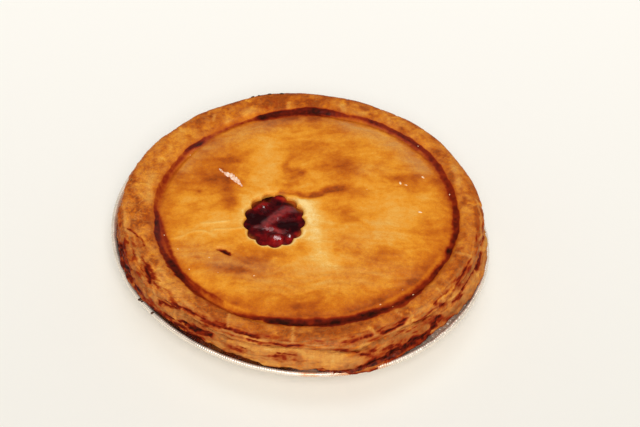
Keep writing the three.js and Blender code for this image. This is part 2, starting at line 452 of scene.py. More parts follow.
LID_SWELLS = [
    (0.9, 22, [(30, 28)]),
    (-0.7, 17, [(-46, 24)]),
    (-0.6, 20, [(-42, -38)]),
    (0.8, 31, [(48, -24)]),
    (0.5, 25, [(8, 52)]),
    (-0.5, 22, [(12, -58)]),
]
LID_DOME = 1.1
FOOT_ARCS = [(0.7, -18, 26), (1, -58, 20)]
FOOT_SPREAD = 2.6
FOOT_SINK = 1.3
FOOT_HEIGHTS = (29, 25.4)
OVERFLOW_SINK = 1.8
PAN_EDGE = (24.5, 26)
SIDE_REACH = (96, 106)
SIDE_HEIGHTS = (26, 40)
FOLD_HEIGHT = 40
GROOVE_WIDTH = 1.8
LID_RADIUS = 88
LID_REACH = (104, 95)
LID_PULL_HEIGHTS = (15, 34)


# %% Settling helper
def squeeze(angle, height):
    """Share by which the squeezed and dented pan changes a radius at that height."""
    shape = SQUEEZE * np.cos(2 * (angle - LONG_AXIS)) - arcs(angle, [DENT])
    return 1 + shape * ease(0, RIM_HEIGHT, height)


def settled(points):
    """Draws plain turned points of crust or filling to where they really are."""
    x, y, z = points.T
    angle = np.arctan2(y, x)
    radius = np.hypot(x, y)
    outwards = np.stack([np.cos(angle), np.sin(angle)], 1)
    out_of_pan = ease(*PAN_EDGE, z)
    plan = points[:, :2] * mixed(squeeze(angle, z), 1, out_of_pan)[:, None]

    to_vent = np.clip((LID_RADIUS - radius) / (LID_RADIUS - VENT_RADIUS), 0, 1)
    cusp = 1 - np.abs(np.cos(LOBES / 2 * (angle - FIRST_LOBE)))
    ring_shift = RING_CENTRE + wave(angle, RING_WAVES)[:, None] * outwards
    reach = np.minimum(radius / VENT_RADIUS, 1)
    sharp = to_vent**3
    vent_shift = VENT_CENTRE + (VENT_STRETCH - (SCALLOP * cusp * sharp)[:, None]) * outwards * reach[:, None]
    lid_pull = ease(*LID_REACH, radius) * ease(*LID_PULL_HEIGHTS, z)
    plan += mixed(ring_shift, vent_shift, to_vent[:, None]) * lid_pull[:, None]

    outside = ease(*SIDE_REACH, radius) * out_of_pan
    low = wave(angle, SIDE_WAVES) + arcs(angle, SIDE_BUMPS)
    fold = wave(angle, FOLD_WAVES) + arcs(angle, FOLD_BUMPS)
    foot = np.minimum(arcs(angle, FOOT_ARCS), 1) * ease(*FOOT_HEIGHTS, z)
    reach_out = mixed(low, fold, ease(*SIDE_HEIGHTS, z)) + FOOT_SPREAD * foot
    plan += outwards * (reach_out * outside)[:, None]

    top = ease(40, 42, z) * ease(50, 96, radius)
    on_lid = ease(38, 40, z) * ease(90, 84, radius)
    droop = wave(angle, FOLD_HEIGHT_WAVES) + arcs(angle, FOLD_HEIGHT_BUMPS)
    height = z + droop * bell(z, FOLD_HEIGHT, 3) * outside
    height -= (OVERFLOW_SINK * arc(angle, *OVERFLOW) * ease(30, 26, z) + FOOT_SINK * foot) * outside
    height += wave(angle, BAND_WAVES) * top * ease(92, 97, radius)
    height -= wave(angle, GROOVE_WAVES) * bell(radius, RING_RADIUS, GROOVE_WIDTH) * top
    height += (LID_DOME * (0.5 - (radius / RING_RADIUS) ** 2) + strokes(plan, LID_SWELLS)) * on_lid
    return np.column_stack([plan, height])


# %% [markdown]
# ## Marks round the rim
# Juice boiled out under the lid and burnt on, the lip cracked, and pale dough shows in the cracks. Along
# the lip some pale strokes are painted highlights of the egg wash. A picture could be laid over all this.
# Instead each mark is a stroke, given by its angle round the pie and its distance from the ring's middle, as
# it looks from the front on the lid's level. as_seen carries it to the band, the lip and the side alike,
# where it is carved and painted and then stays.

# %% Marks by angle and distance
RING_MIDDLE = np.array([4.2, -2.1])
RING_STEP = math.radians(1) * RING_RADIUS


def round_the_ring(plan):
    """Places as millimetres round the ring, from angle 0, and millimetres from its middle."""
    x, y = (plan - RING_MIDDLE).T
    return np.stack([np.degrees(np.arctan2(y, x)) * RING_STEP, np.hypot(x, y)], 1)


def unrolled(marks):
    """Marks whose paths give degrees and millimetres, with the degrees made millimetres round the ring."""
    return [(strength, width, [(a * RING_STEP, r) for a, r in path]) for strength, width, path in marks]


def layers(plan, seed, size=(13, 1.9, 1)):
    """Thin uneven layers that run round the pie and start anew at its back."""
    around = (plan[:, 0] - 90 * RING_STEP) % (360 * RING_STEP)
    return clouds(np.column_stack([around, plan[:, 1], np.zeros(len(plan))]), size, seed)


# %% Burnt juice round the rim
RIM_JUICE = unrolled([
    (0.4, 0.5, [(-177.5, 112.4), (-174, 112.6), (-170, 113.1), (-168, 113.6)]),
    (0.72, 2.1, [(-163.5, 114), (-160, 114.6), (-156, 114.8), (-153.5, 115.4)]),
    (0.8, 1.3, [(-152.5, 116), (-150.2, 116.2)]),
    (0.74, 1.4, [(-149.5, 116), (-146, 116.8), (-144.5, 117.6)]),
    (0.5, 1, [(-144, 117.8), (-139, 118.2), (-135, 118.2), (-130, 117.6), (-125, 117.4), (-118, 117.8)]),
    (0.62, 0.5, [(-170.5, 107.5), (-168, 104.5), (-166.5, 102.5), (-165, 101.1), (-163.5, 100.4),
                 (-161, 100.3)]),
    (0.3, 1.2, [(-165, 103.2), (-161, 103.2)]),
    (0.24, 1.6, [(-178, 95.8), (-174, 96.4), (-172.5, 95)]),
    (0.85, 1.1, [(-152.3, 104.1), (-150.5, 105), (-148, 106.4), (-145.6, 108.2)]),
    (0.3, 1.8, [(-152, 103.4), (-148, 105), (-145, 107.2)]),
    (0.26, 0.8, [(-151.5, 107.4), (-149, 108.5), (-146.5, 109.6)]),
    (0.24, 0.6, [(-157, 104.8), (-153, 104.4)]),
    (0.2, 1.2, [(-165, 109), (-160, 110), (-155, 111.6), (-150, 113)]),
    (0.22, 0.8, [(-160, 108.2), (-158, 108.3)]),
    (0.5, 1.8, [(-137.5, 112.5), (-135, 111), (-132.5, 108)]),
    (0.6, 1, [(-135, 117.6), (-131, 116.2), (-129, 115.5)]),
    (0.7, 0.8, [(-128, 114.2), (-125, 113.5)]),
    (0.85, 1.5, [(-123, 113.6), (-121, 113), (-117.5, 113.2)]),
    (0.7, 0.55, [(-129.5, 105.3), (-128, 104.4), (-125, 104.3), (-122.3, 104.5)]),
    (0.4, 1.2, [(-133, 107), (-129, 105)]),
    (0.7, 1.8, [(-121, 105.8), (-117.5, 104.6), (-115.6, 103.6)]),
    (0.3, 1.8, [(-119, 103), (-116.5, 102)]),
    (0.68, 1.3, [(-115, 104.4), (-111, 104.4), (-104, 104)]),
    (0.32, 1.2, [(-113, 103.2), (-108, 102.8), (-103, 103), (-98, 102.4)]),
    (0.5, 0.9, [(-106, 107.8), (-102, 107.5), (-98, 107.2), (-95, 106.8), (-91, 106.6)]),
    (0.36, 2, [(-110, 115.4), (-106.5, 117)]),
    (0.55, 0.8, [(-106.8, 116), (-106.2, 114.6)]),
    (0.4, 2, [(-98, 116), (-92.5, 116.4)]),
    (0.6, 0.5, [(-97, 113.2), (-92, 114)]),
    (0.3, 0.6, [(-88, 104.4), (-84, 105.2)]),
    (0.4, 0.7, [(-80, 111), (-78, 112.2), (-76.5, 113), (-74.5, 114.5)]),
    (0.75, 0.8, [(-73.8, 116.8), (-72, 118.4)]),
    (0.5, 1.2, [(-86, 124), (-85, 123.6)]),
    (0.6, 1.2, [(-82.5, 127.4), (-78, 126.8)]),
    (0.9, 2, [(-72, 124), (-69, 123.6), (-66.5, 123)]),
    (0.7, 1.3, [(-75.5, 126), (-73, 125)]),
    (0.85, 2, [(-67, 122), (-64, 121), (-61.5, 120.2), (-58, 119.6), (-55, 119.6)]),
    (0.4, 0.9, [(-57.5, 119), (-54.5, 118.6)]),
    (0.55, 1.3, [(-76, 106.6), (-72, 105.8), (-70, 105.4)]),
    (0.8, 1.2, [(-70.4, 105.4), (-68.8, 105.2)]),
    (0.32, 1, [(-66.2, 102.4), (-66.6, 100)]),
    (0.7, 1.3, [(-64.8, 106), (-62.5, 106.7), (-60, 106), (-58.5, 105), (-56.5, 103.4)]),
    (0.3, 0.8, [(-62, 111), (-58, 110.4)]),
    (0.4, 2.2, [(-71, 117.4), (-66, 117.6), (-60, 116.6)]),
    (0.3, 2, [(-56, 110.4), (-48, 109.6)]),
    (0.8, 1.5, [(-51.2, 116.2), (-49.5, 115), (-47.6, 114.2)]),
    (0.34, 0.8, [(-52.5, 111.8), (-51.6, 111.6)]),
    (0.5, 1.3, [(-44.4, 106), (-43.2, 108.2)]),
    (0.36, 1.2, [(-39.8, 103.2), (-37.2, 104.4)]),
    (0.6, 0.8, [(-40.2, 111.7), (-38, 112), (-36.6, 111.8)]),
    (0.62, 0.5, [(-34.6, 110.8), (-32, 109.9), (-29.5, 109.6), (-27, 109.3), (-24.5, 110)]),
    (0.75, 0.8, [(-24.8, 110.2), (-22.5, 109.8), (-20, 109.1), (-17.8, 109)]),
    (0.5, 1, [(-33.4, 105.6), (-30, 105.3), (-28, 105.4), (-25.5, 104.6)]),
    (0.3, 0.8, [(-25, 104.6), (-21.5, 104.4)]),
    (0.34, 1, [(-17.2, 98), (-18.4, 95.6), (-18.6, 93.4)]),
    (0.4, 0.5, [(-15, 107.8), (-11, 107.7), (-8, 107.4), (-4, 106.8)]),
    (0.24, 0.8, [(-12, 104.4), (-5, 103.8), (0, 103.2)]),
    (0.26, 0.9, [(-5.6, 95), (-4, 95.2)]),
    (0.2, 2, [(-44, 99), (-41, 97.6)]),
    (0.3, 1.6, [(89, 98), (90, 103)]),
    (0.3, 1.6, [(101.5, 98), (103, 105)]),
    (0.36, 1.4, [(106, 94), (106.8, 100)]),
    (0.3, 0.7, [(133.6, 102.4), (134, 102.6)]),
])

# %% Brown and pale places round the rim
RIM_BROWN = unrolled([
    (0.1, 3.4, [(165, 112), (172, 109)]),
    (0.06, 2.2, [(173, 106.5), (176, 103), (180, 104)]),
    (0.2, 1.4, [(-178, 111), (-170, 110.5), (-163, 111.5)]),
    (0.18, 2.2, [(-174, 105), (-171, 102)]),
    (0.16, 3, [(-168, 112.5), (-150, 114.5)]),
    (0.2, 2.4, [(-150, 112), (-143, 114.5)]),
    (0.22, 3, [(-140, 117), (-133, 114)]),
    (0.2, 2.6, [(-127, 110), (-119, 110)]),
    (0.12, 4, [(-128, 97), (-118, 97)]),
    (0.2, 2, [(-116, 111), (-111, 108.5)]),
    (0.2, 2.4, [(-104, 117), (-99, 118)]),
    (0.2, 2.6, [(-97, 117), (-91, 116)]),
    (0.12, 3, [(-95, 99), (-88, 100)]),
    (0.2, 2.4, [(-84, 96.6), (-76, 96.6)]),
    (0.2, 2.6, [(-64, 112), (-59, 113)]),
    (0.22, 2.4, [(-61, 117), (-54, 116)]),
    (0.2, 2, [(-57, 112), (-53, 111)]),
    (0.18, 3, [(-46, 117), (-36, 115)]),
    (0.2, 2, [(-33, 108), (-19, 107.6)]),
    (0.14, 2, [(-36, 101), (-22, 101)]),
    (0.18, 1.5, [(-15, 105), (-4, 103.6), (4, 103)]),
    (0.18, 2, [(-23, 95.5), (-20, 95.5)]),
    (0.16, 2.2, [(8, 97), (4, 95)]),
    (0.18, 2.2, [(21.4, 96.5), (18, 93)]),
    (0.18, 3, [(34.7, 98), (29.8, 97)]),
    (0.15, 2.6, [(54.8, 96.8), (49.3, 96.5)]),
    (0.16, 2.4, [(69.8, 103.5), (66, 98.5)]),
    (0.2, 2.6, [(89.5, 101), (87.7, 96)]),
    (0.16, 4, [(105.7, 104), (101, 105)]),
    (0.16, 3.4, [(135, 106), (126, 106)]),
])
# Pale cracks round the rim, and along the lip pale strokes that are painted highlights of the egg wash.
RIM_PALE_AND_SHEEN = unrolled([
    (0.24, 0.6, [(-132, 109), (-131, 110.6), (-129.5, 112.6), (-128.3, 115.4)]),
    (0.2, 0.6, [(-130.5, 106.5), (-129.5, 108), (-128.6, 110)]),
    (0.16, 0.5, [(-127, 109.6), (-126.5, 107)]),
    (0.22, 0.7, [(-143, 109), (-140.5, 111), (-138.5, 114), (-137.2, 115.6)]),
    (0.08, 3, [(-147, 99.5), (-141, 101), (-136, 100)]),
    (0.1, 1.6, [(-150, 98.5), (-146, 98)]),
    (0.16, 1.2, [(-132, 102), (-128, 103.2)]),
    (0.14, 0.9, [(-158, 106), (-154, 107)]),
    (0.16, 1, [(-170, 109), (-168, 107)]),
    (0.16, 0.9, [(-178, 109.4), (-172, 109.8)]),
    (0.2, 0.7, [(-114.3, 103.4), (-115.5, 99), (-116, 95)]),
    (0.18, 0.8, [(-115, 105.6), (-110, 105.8), (-106, 105.8), (-102, 106), (-98, 105.4), (-94.5, 105)]),
    (0.2, 2, [(-107.5, 111), (-103, 112)]),
    (0.2, 1.8, [(-101.5, 112), (-99, 111)]),
    (0.2, 1.6, [(-97.5, 110), (-90, 110.5)]),
    (0.2, 1.3, [(-115, 115.5), (-112, 116.6)]),
    (0.2, 0.6, [(-93.6, 93.6), (-93.2, 99), (-93, 104.6)]),
    (0.16, 0.6, [(-107.3, 107.5), (-107, 103)]),
    (0.18, 3, [(-88, 114), (-80, 118)]),
    (0.14, 3, [(-84, 121), (-76, 121)]),
    (0.2, 0.6, [(-89, 106.4), (-85.5, 107)]),
    (0.2, 0.8, [(-84, 109), (-81, 108.5)]),
    (0.18, 0.6, [(-80.3, 113.5), (-79.6, 111.8)]),
    (0.26, 0.9, [(-73.6, 112.4), (-73, 110.8), (-70.5, 110.8)]),
    (0.18, 1.4, [(-69, 118), (-65.5, 114)]),
    (0.22, 0.8, [(-67.4, 106), (-67.4, 104), (-68.3, 101)]),
    (0.2, 0.7, [(-64, 109.2), (-60, 108.3), (-57, 107), (-55, 104.6), (-53.4, 103.6)]),
    (0.14, 1.4, [(-56.5, 108), (-54, 107.4)]),
    (0.12, 2, [(-54, 103), (-50, 102.4)]),
    (0.18, 1, [(-51, 110.4), (-49.5, 110.2)]),
    (0.16, 0.6, [(-56.6, 96), (-56.6, 100)]),
    (0.2, 0.6, [(-42, 107.6), (-40.8, 105), (-40, 101.6), (-39.4, 98.6)]),
    (0.16, 0.7, [(-40.5, 110), (-36, 108)]),
    (0.14, 1.2, [(-43, 114.6), (-36, 113.6), (-28, 112), (-22, 111.6)]),
    (0.2, 0.7, [(-20.4, 104), (-20, 101), (-20.5, 97), (-20.7, 95)]),
    (0.18, 0.6, [(-12, 106.3), (-5, 105.6), (0, 105), (6, 104)]),
    (0.16, 0.8, [(-16, 110), (-8, 109.4)]),
    (0.14, 2.4, [(164, 100), (177, 96.4)]),
    (0.24, 2.6, [(123, 94), (121, 92)]),
    (0.14, 4, [(114, 98), (112.5, 98)]),
    (0.16, 0.8, [(125.4, 106), (127.4, 101)]),
    (0.16, 1, [(97.6, 100), (98, 95)]),
    (0.22, 2.4, [(77.3, 99.5), (76.3, 96)]),
    (0.14, 3, [(72, 96), (68.7, 96.5)]),
    (0.14, 1.6, [(58.5, 100), (57.4, 96)]),
    (0.16, 1.6, [(24.4, 99.7), (22, 99)]),
    (0.14, 1.8, [(17.5, 99), (15.5, 97)]),
])

# %% [markdown]
# ## Bottom crust
# The bottom crust lines the pan, comes out over its rim and stands up as the pie's side. Its side is matt
# and flaky, as it got no egg wash. It could be a solid of revolution alone; the flakes are then sculpted as
# clouds that are wide round the pie and thin in height, so that they lie in layers.

# %% Bottom crust, turned and settled
COLUMNS = LOBES * 11
IN_PAN = [(60, 0.9), (84.2, 2.4), (104.4, 22.4), (105.2, 24.8)]
SIDE = [(107.4, 25.4), (108.7, 26.1), (109.4, 27.2), (109.6, 28.6), (109.4, 30.2), (109.2, 31.9)]
UPPER_SIDE = [(109, 33.6), (108.9, 35.3), (108.6, 36.9), (107.8, 38.2), (106, 39), (100, 39.4)]
CASE_INSIDE = [(92, 37.6), (88, 19), (60, 5)]
CASE_PROFILE = IN_PAN + SIDE + UPPER_SIDE + CASE_INSIDE

bottom_crust = turned("bottom_crust", COLUMNS, CASE_PROFILE, FIRST_LOBE)
smoothed(bottom_crust, 2)
case_plain = read_points(bottom_crust)
case_radius = np.hypot(case_plain[:, 0], case_plain[:, 1])
case_height = case_plain[:, 2]
case_places = settled(case_plain)
write_points(bottom_crust, case_places)

# %% Bottom crust, flakes
on_side = ease(24.6, 26, case_height) * ease(104, 107, case_radius)
in_front = ease(25, 5, case_places[:, 1])
case_seen = as_seen(case_places)
case_marks = round_the_ring(case_seen)
flakes = clouds(case_places, (9, 9, 2), 11)
lumps = clouds(case_places, 8, 12)
crumb = clouds(case_places, 2.4, 13)
case_lift = 0.6 * flakes + 1.1 * lumps + 0.4 * crumb
case_lift += 0.5 * layers(case_marks, 15)
case_lift += (1.2 * strokes(case_marks, RIM_PALE_AND_SHEEN) - 0.8 * strongest(case_marks, RIM_JUICE)) * in_front
raise_skin(bottom_crust, case_lift * on_side)

# %% [markdown]
# ## Top crust
# The top crust is a sheet of dough whose edge rolls over the bottom crust. A ring was pressed round it to
# seal the two, and a fluted cutter made the vent. Its profile runs round the vent's hole: along the
# underside, over the rolled edge and the band, down into the ring, over the lid and down into the vent.

# %% Top crust, turned and settled
UNDERSIDE = [(45, 39.6), (80, 39.2), (97, 38.9), (103, 38.6)]
ROLLED_EDGE = [(106.6, 38.9), (108, 39.4), (108.9, 40.5), (108.8, 41.8), (107.8, 42.9)]
BAND = [(106, 43.7), (103.6, 44.1), (101, 44.3), (98.4, 44.35), (96, 44.2)]
RING = [(94.2, 43.8), (92.8, 42.9), (91.6, 41.9), (90.4, 41.4), (89.2, 41.7), (88, 42.4), (86.6, 43)]
LID_EDGE = [(84.6, 43.4), (82, 43.8), (78.5, 44.1), (74, 44.3)]
LID = [(r, 44.4) for r in (69.5, 65, 60.5, 56, 51.5, 47, 42.5, 38)]
VENT = [(33.5, 44.4), (29.5, 44.4), (26, 44.4), (23.4, 44.3), (21.8, 44.1), (20.8, 43.6)]
VENT_WALL = [(20.4, 42.6), (20.4, 41), (20.7, 39.7)]
LID_PROFILE = UNDERSIDE + ROLLED_EDGE + BAND + RING + LID_EDGE + LID + VENT + VENT_WALL

top_crust = turned("top_crust", COLUMNS, LID_PROFILE, FIRST_LOBE, round_a_hole=True)
smoothed(top_crust, 2)
plain = read_points(top_crust)
radius = np.hypot(plain[:, 0], plain[:, 1])
height = plain[:, 2]
places = settled(plain)
write_points(top_crust, places)
seen = as_seen(places)
rim_marks = round_the_ring(seen)
angle = np.arctan2(places[:, 1], places[:, 0])

# %% Regions of the top crust
upper = ease(38.5, 39.2, height)
on_lid = ease(88.5, 85, radius) * ease(42, 43.2, height)
on_band = ease(92, 95, radius) * upper
in_ring = bell(radius, RING_RADIUS, 8) * upper
on_edge = ease(105, 108.5, radius) * upper
in_vent = ease(22.6, 20.9, radius)
front_lip = ease(5, -35, places[:, 1]) * ease(99, 104, rim_marks[:, 1]) * on_band
crackled = arcs(angle, [(1, 178, 30), (1, -142, 26)]) * ease(93, 99, radius) * upper
print("lid points", int(on_lid.sum()), "band points", int(on_band.sum()))

# %% Lines in the lid and the band
LONG_CREASE = [(-11, 13), (-2, 12), (6, 10.5), (13, 12.5), (17, 16), (23, 17)]
SHORT_CREASE = [(0, 9), (5, 8), (12, 11)]
CREASES = [(1.0, 1.7, LONG_CREASE), (0.6, 1.3, SHORT_CREASE)]
SLIT = [(-47, -36), (-43.5, -37), (-40, -40)]
PALE_LINES = [
    (1, 0.9, [(-76, -29), (-69, -26), (-63, -22), (-58, -21), (-53, -23)]),
    (1, 0.9, [(-58, -15), (-50, -14), (-42, -12.5)]),
    (1, 0.9, [(-50, -20), (-38, -19), (-33, -18)]),
]
RADIAL_CRACKS = (75, 62, 55, 43, 27, 110, 120, 125, 138, 155, 3, -52, -66, -96, -108, 170, -165)


def radial_cracks(angle, radius):
    """Thin wavy cracks across the band, each a little longer or shorter than the next."""
    lines = np.zeros(len(angle))
    for i, centre in enumerate(RADIAL_CRACKS):
        bent = centre + 0.5 * np.sin(radius * 1.1 + i)
        start = 95 + 3 * (i % 3)
        lines += arc(angle, bent, 0.42) * ease(start, start + 2, radius) * (0.5 + 0.25 * (i % 3))
    return lines


# %% Top crust, sculpted
wrinkles = ease(0.7, 1, 1 - 1.4 * np.abs(clouds(places, (8, 8, 8), 21, 2))) * crackled
cracks = radial_cracks(angle, radius) * on_band
ripples = clouds(places, (17, 2.6, 9), 3)
rippled = stroke(seen, 24, [(-20, -60), (55, -58)])
lift = (0.28 * clouds(places, 22, 1) + 0.1 * clouds(places, 6, 2) + 0.3 * ripples * rippled) * on_lid
lift -= (0.5 * strokes(seen, CREASES) + 1.0 * stroke(seen, 1.5, SLIT)) * on_lid
lift += 0.22 * strokes(seen, PALE_LINES) * on_lid
rough = mixed(0.3, 1, ease(35, -15, places[:, 1]))
lift += (0.6 * clouds(places, 12, 4) + 0.4 * clouds(places, 4.5, 5)) * rough * on_band
lift += (0.5 * clouds(places, 6, 22) * crackled - 0.5 * wrinkles - 0.4 * cracks) * on_band
lift += (1.2 * strokes(rim_marks, RIM_PALE_AND_SHEEN) * rough - 0.9 * strongest(rim_marks, RIM_JUICE)) * on_band
lift += 0.5 * layers(rim_marks, 7) * front_lip
lift += 0.1 * clouds(places, 2, 6) * upper
raise_skin(top_crust, lift * upper * (1 - in_vent))

# %% [markdown]
# ## Colours of the crust
# Baking browns dough unevenly: pale where it blistered or cracked, golden on the lid, brown at the edge and
# where juice dried on it. An image could hold this. Here five numbers are painted on the points instead:
# how far it is baked, how much juice soaked in, how bare of egg wash it is, how it shines and crackles. The
# bare number also carries painted sheen on the lid and painted highlights along the lip.

# %% Marks on the lid
BROWN_MARKS = [
    (0.15, 16, [(-62, 32), (-50, 38)]),
    (0.13, 9, [(-70, 18), (-56, 24)]),
    (0.24, 6, [(-46, 22), (-43, 10), (-41, 2)]),
    (0.1, 5, [(-46, 44), (-38, 40)]),
    (0.14, 3, [(-1, 45), (-8, 42), (-10, 37)]),
    (0.18, 3.4, [(-8, 33), (-3, 33), (1, 31)]),
    (0.15, 3.4, [(1, 29), (-3, 24), (-8, 18)]),
    (0.17, 8, [(21, 38), (28, 33)]),
    (0.1, 5, [(33, 38), (36, 36)]),
    (0.1, 7, [(22, 46), (26, 44)]),
    (0.34, 2.6, LONG_CREASE),
    (0.2, 2.2, SHORT_CREASE),
    (0.2, 4.6, [(22, 17), (30, 16), (38, 14)]),
    (0.16, 3.6, [(58, 27), (66, 28), (72, 29)]),
    (0.08, 6, [(66, 20), (80, 26)]),
    (0.1, 12, [(8, 60), (24, 68)]),
    (0.09, 8, [(2, 48), (10, 54)]),
    (0.2, 8, [(-33, -43), (-20, -47)]),
    (0.2, 5, [(-45, -51), (-35, -53)]),
    (0.17, 4.6, [(-22, -37), (-10, -38)]),
    (0.15, 4.6, [(2, -33), (4, -35)]),
    (0.14, 6, [(27, -4), (29, -9)]),
    (0.12, 5, [(36, -37), (46, -42)]),
    (0.1, 4, [(51, -36), (60, -37)]),
    (0.18, 6, [(78, -46), (70, -57)]),
    (0.15, 7, [(64, -62), (56, -71)]),
    (0.18, 6, [(48, -76), (34, -80)]),
    (0.1, 8, [(10, -78), (-20, -78)]),
    (0.1, 6, [(-46, -74), (-36, -78)]),
    (0.1, 8, [(-80, -10), (-78, -2)]),
    (0.16, 1.4, [(-62, 13), (-61.5, 13)]),
    (0.12, 1.4, [(22, -35), (22.5, -35)]),
    (0.07, 9, [(-46, -50), (-30, -56), (-8, -62)]),
    (0.06, 8, [(26, -30), (38, -28)]),
    (0.06, 7, [(26, 22), (34, 26)]),
    (0.12, 4.6, [(8, 82), (-12, 80), (-28, 74)]),
]
PALE_MARKS = [
    (0.24, 7, [(5, 3), (8, -10), (11, -24), (13, -37), (19, -46)]),
    (0.13, 6, [(20, -15), (27, -17)]),
    (0.16, 4, [(-34, 8), (-33, -2)]),
    (0.16, 4, [(-5, 9), (2, 5)]),
    (0.07, 14, [(-21, 52), (-20, 28)]),
    (0.09, 16, [(50, -14), (58, 4)]),
    (0.06, 9, [(4, 38), (6, 34)]),
    (0.08, 9, [(-54, -14), (-42, -12)]),
    (0.04, 14, [(-50, -66), (-30, -68)]),
    (0.05, 8, [(46, 70), (62, 56)]),
    (0.2, 1.6, [(-35, -82), (-34, -82)]),
]
SPLASHES = [
    (0.45, 1.2, SLIT),
    (0.6, 1.7, [(-44, -37.2), (-41.5, -38.8)]),
    (0.22, 2.2, [(12, 12), (17, 16), (20, 17)]),
    (0.14, 2, [(-6, 12.5), (4, 10)]),
    (0.12, 3.4, [(-42, -52), (-36, -53)]),
]
# Sheen on the lid: these strokes make the egg wash glossier and also paint a paler, pinker sheen into its
# colour.
SHEEN_MARKS = [
    (0.8, 7, [(-74, 34), (-64, 48), (-48, 60), (-20, 75)]),
    (0.4, 6, [(-10, 78), (14, 80)]),
    (1.3, 7, [(28, 78), (45, 70), (64, 56), (76, 36)]),
    (0.7, 11, [(-20, -58), (20, -56), (60, -50)]),
    (0.8, 10, [(-66, -38), (-48, -42)]),
    (0.6, 9, [(-46, -47), (-26, -52)]),
    (0.5, 10, [(30, -28), (46, -22)]),
    (0.5, 6, [(40, 34), (50, 36)]),
]

# %% [markdown]
# ## Juice in the ring
# Juice rose into the pressed ring and burnt there, thick in some places and almost gone in others. It could
# be a stroke of one width. Here one line has stops round the pie, each with its angle, its distance from the
# middle, its half width and its depth, and runs evenly from one to the next.

# %% Juice in the ring
RING_LINE = [
    (-180, 91, 1.3, 0.5), (-175, 90.3, 1.4, 0.75), (-171, 90.2, 1.8, 0.95), (-167, 90.6, 1.7, 0.8),
    (-161, 91.5, 1.4, 0.62), (-155, 91.6, 1.5, 0.7), (-151, 90.6, 2.2, 0.9), (-145, 91, 2.1, 0.88),
    (-139, 91.1, 1.8, 0.68), (-132, 92.2, 1.4, 0.5), (-124, 93.4, 1.2, 0.44), (-116, 93, 1.1, 0.42),
    (-110, 91.8, 1.5, 0.56), (-104, 91, 1.8, 0.78), (-99, 90.2, 2.4, 0.98), (-93, 89.8, 2.8, 0.8),
    (-86, 90, 2.7, 0.8), (-78, 91, 2.7, 0.88), (-73, 91.1, 2.6, 0.84), (-67, 91.2, 2.9, 0.97),
    (-62, 91.4, 2.4, 0.86), (-57, 92.5, 2.2, 0.74), (-51, 92.9, 2.2, 0.78), (-44, 91.6, 1.9, 0.64),
    (-38, 91, 1.5, 0.6), (-33, 91.2, 1.4, 0.82), (-29, 91.2, 1.2, 0.74), (-24, 91.4, 1.1, 0.58),
    (-21, 91, 1.7, 0.94), (-17.5, 90.8, 1.3, 0.62), (-13, 91.2, 1.5, 0.74), (-6, 90.5, 2, 0.75),
    (2, 90.7, 1.6, 0.66), (10, 90.3, 1.9, 0.6), (18, 90.1, 2.2, 0.58), (28, 91.5, 2, 0.7),
    (36, 92, 1.8, 0.62), (46, 91.5, 1.6, 0.74), (56, 91.4, 1.5, 0.6), (64, 91.9, 1.7, 0.8),
    (68, 91.6, 1.2, 0.46), (74, 91, 1.2, 0.46), (77, 90.8, 2, 0.62), (81, 91.1, 3, 0.86),
    (90, 91.8, 3.5, 0.96), (95, 91, 3.4, 0.82), (99, 89.9, 3.5, 0.8), (105, 89.6, 3, 0.94),
    (110, 89.6, 2.4, 0.95), (113, 89.3, 1.4, 0.4), (118, 89, 1.5, 0.5), (124, 89.5, 1, 0.22),
    (131, 90.4, 1, 0.32), (136, 91, 1.4, 0.52), (140, 90.6, 1.9, 0.88), (144, 91.7, 1.6, 0.8),
    (149, 91.5, 1.2, 0.38), (157, 90.8, 1.8, 0.5), (166, 91.6, 1.5, 0.44), (174, 91.8, 1.3, 0.42),
    (180, 91, 1.3, 0.5),
]
RING_STREAKS = unrolled([
    (0.62, 2, [(-174, 88.4), (-168, 87), (-160, 86.6), (-154, 87.4), (-149, 88.6)]),
    (0.52, 1.5, [(-142, 89), (-135, 88.2), (-128, 88), (-122, 88)]),
    (0.3, 0.8, [(-118, 87), (-112, 87.4), (-106, 89)]),
    (0.45, 1, [(-34, 89.6), (-29, 89.2)]),
    (0.3, 2, [(-10, 88.6), (0, 88.6), (8, 87.6), (20, 87.4), (28, 88.6)]),
    (0.3, 2, [(34, 89), (45, 88.8), (60, 89)]),
])
DRY_RING = [(0.9, 114, 4), (0.5, 72, 5)]
RING_SHEEN = [(0.5, 46, 20), (0.5, 138, 16), (0.4, -166, 12)]

# %% Top crust, juice in the ring
drift = 0.9 * np.stack([clouds(places, 8, 31), clouds(places, 8, 32)], 1)
grit = clouds(places, 2.2, 37, 2)
blotch = clouds(places, 7, 34)
hand = seen + drift + 0.3 * grit[:, None]
marked = round_the_ring(hand)
turn = marked[:, 0] / RING_STEP
line_turn, line_middle, line_half, line_depth = [np.array(column) for column in zip(*RING_LINE)]
off_line = (marked[:, 1] - np.interp(turn, line_turn, line_middle)) / np.interp(turn, line_turn, line_half)
line_depth = np.interp(turn, line_turn, line_depth)
ink = line_depth * ease(1.5, 0.8, off_line) * ease(-2.3, -0.3, off_line)
ink = np.maximum(ink, strongest(marked, RING_STREAKS, 1.3)) * (1 + 0.22 * blotch + 0.22 * grit)
soaked = 0.3 * bell(marked[:, 1], 89.6, 2.8) * (1 + 0.5 * blotch) * (1 - arcs(angle, DRY_RING))
print("ring ink up to", ink.max().round(2))

# %% [markdown]
# ## Painting the crusts
# The five numbers are sums: a base, soft clouds and the strokes above, each only in the region where it
# belongs. Texture Paint could do it with brushes. As sums, every share stands in one place and can be
# changed there. Burnt juice round the rim is one effect on both crusts, so one function makes it.

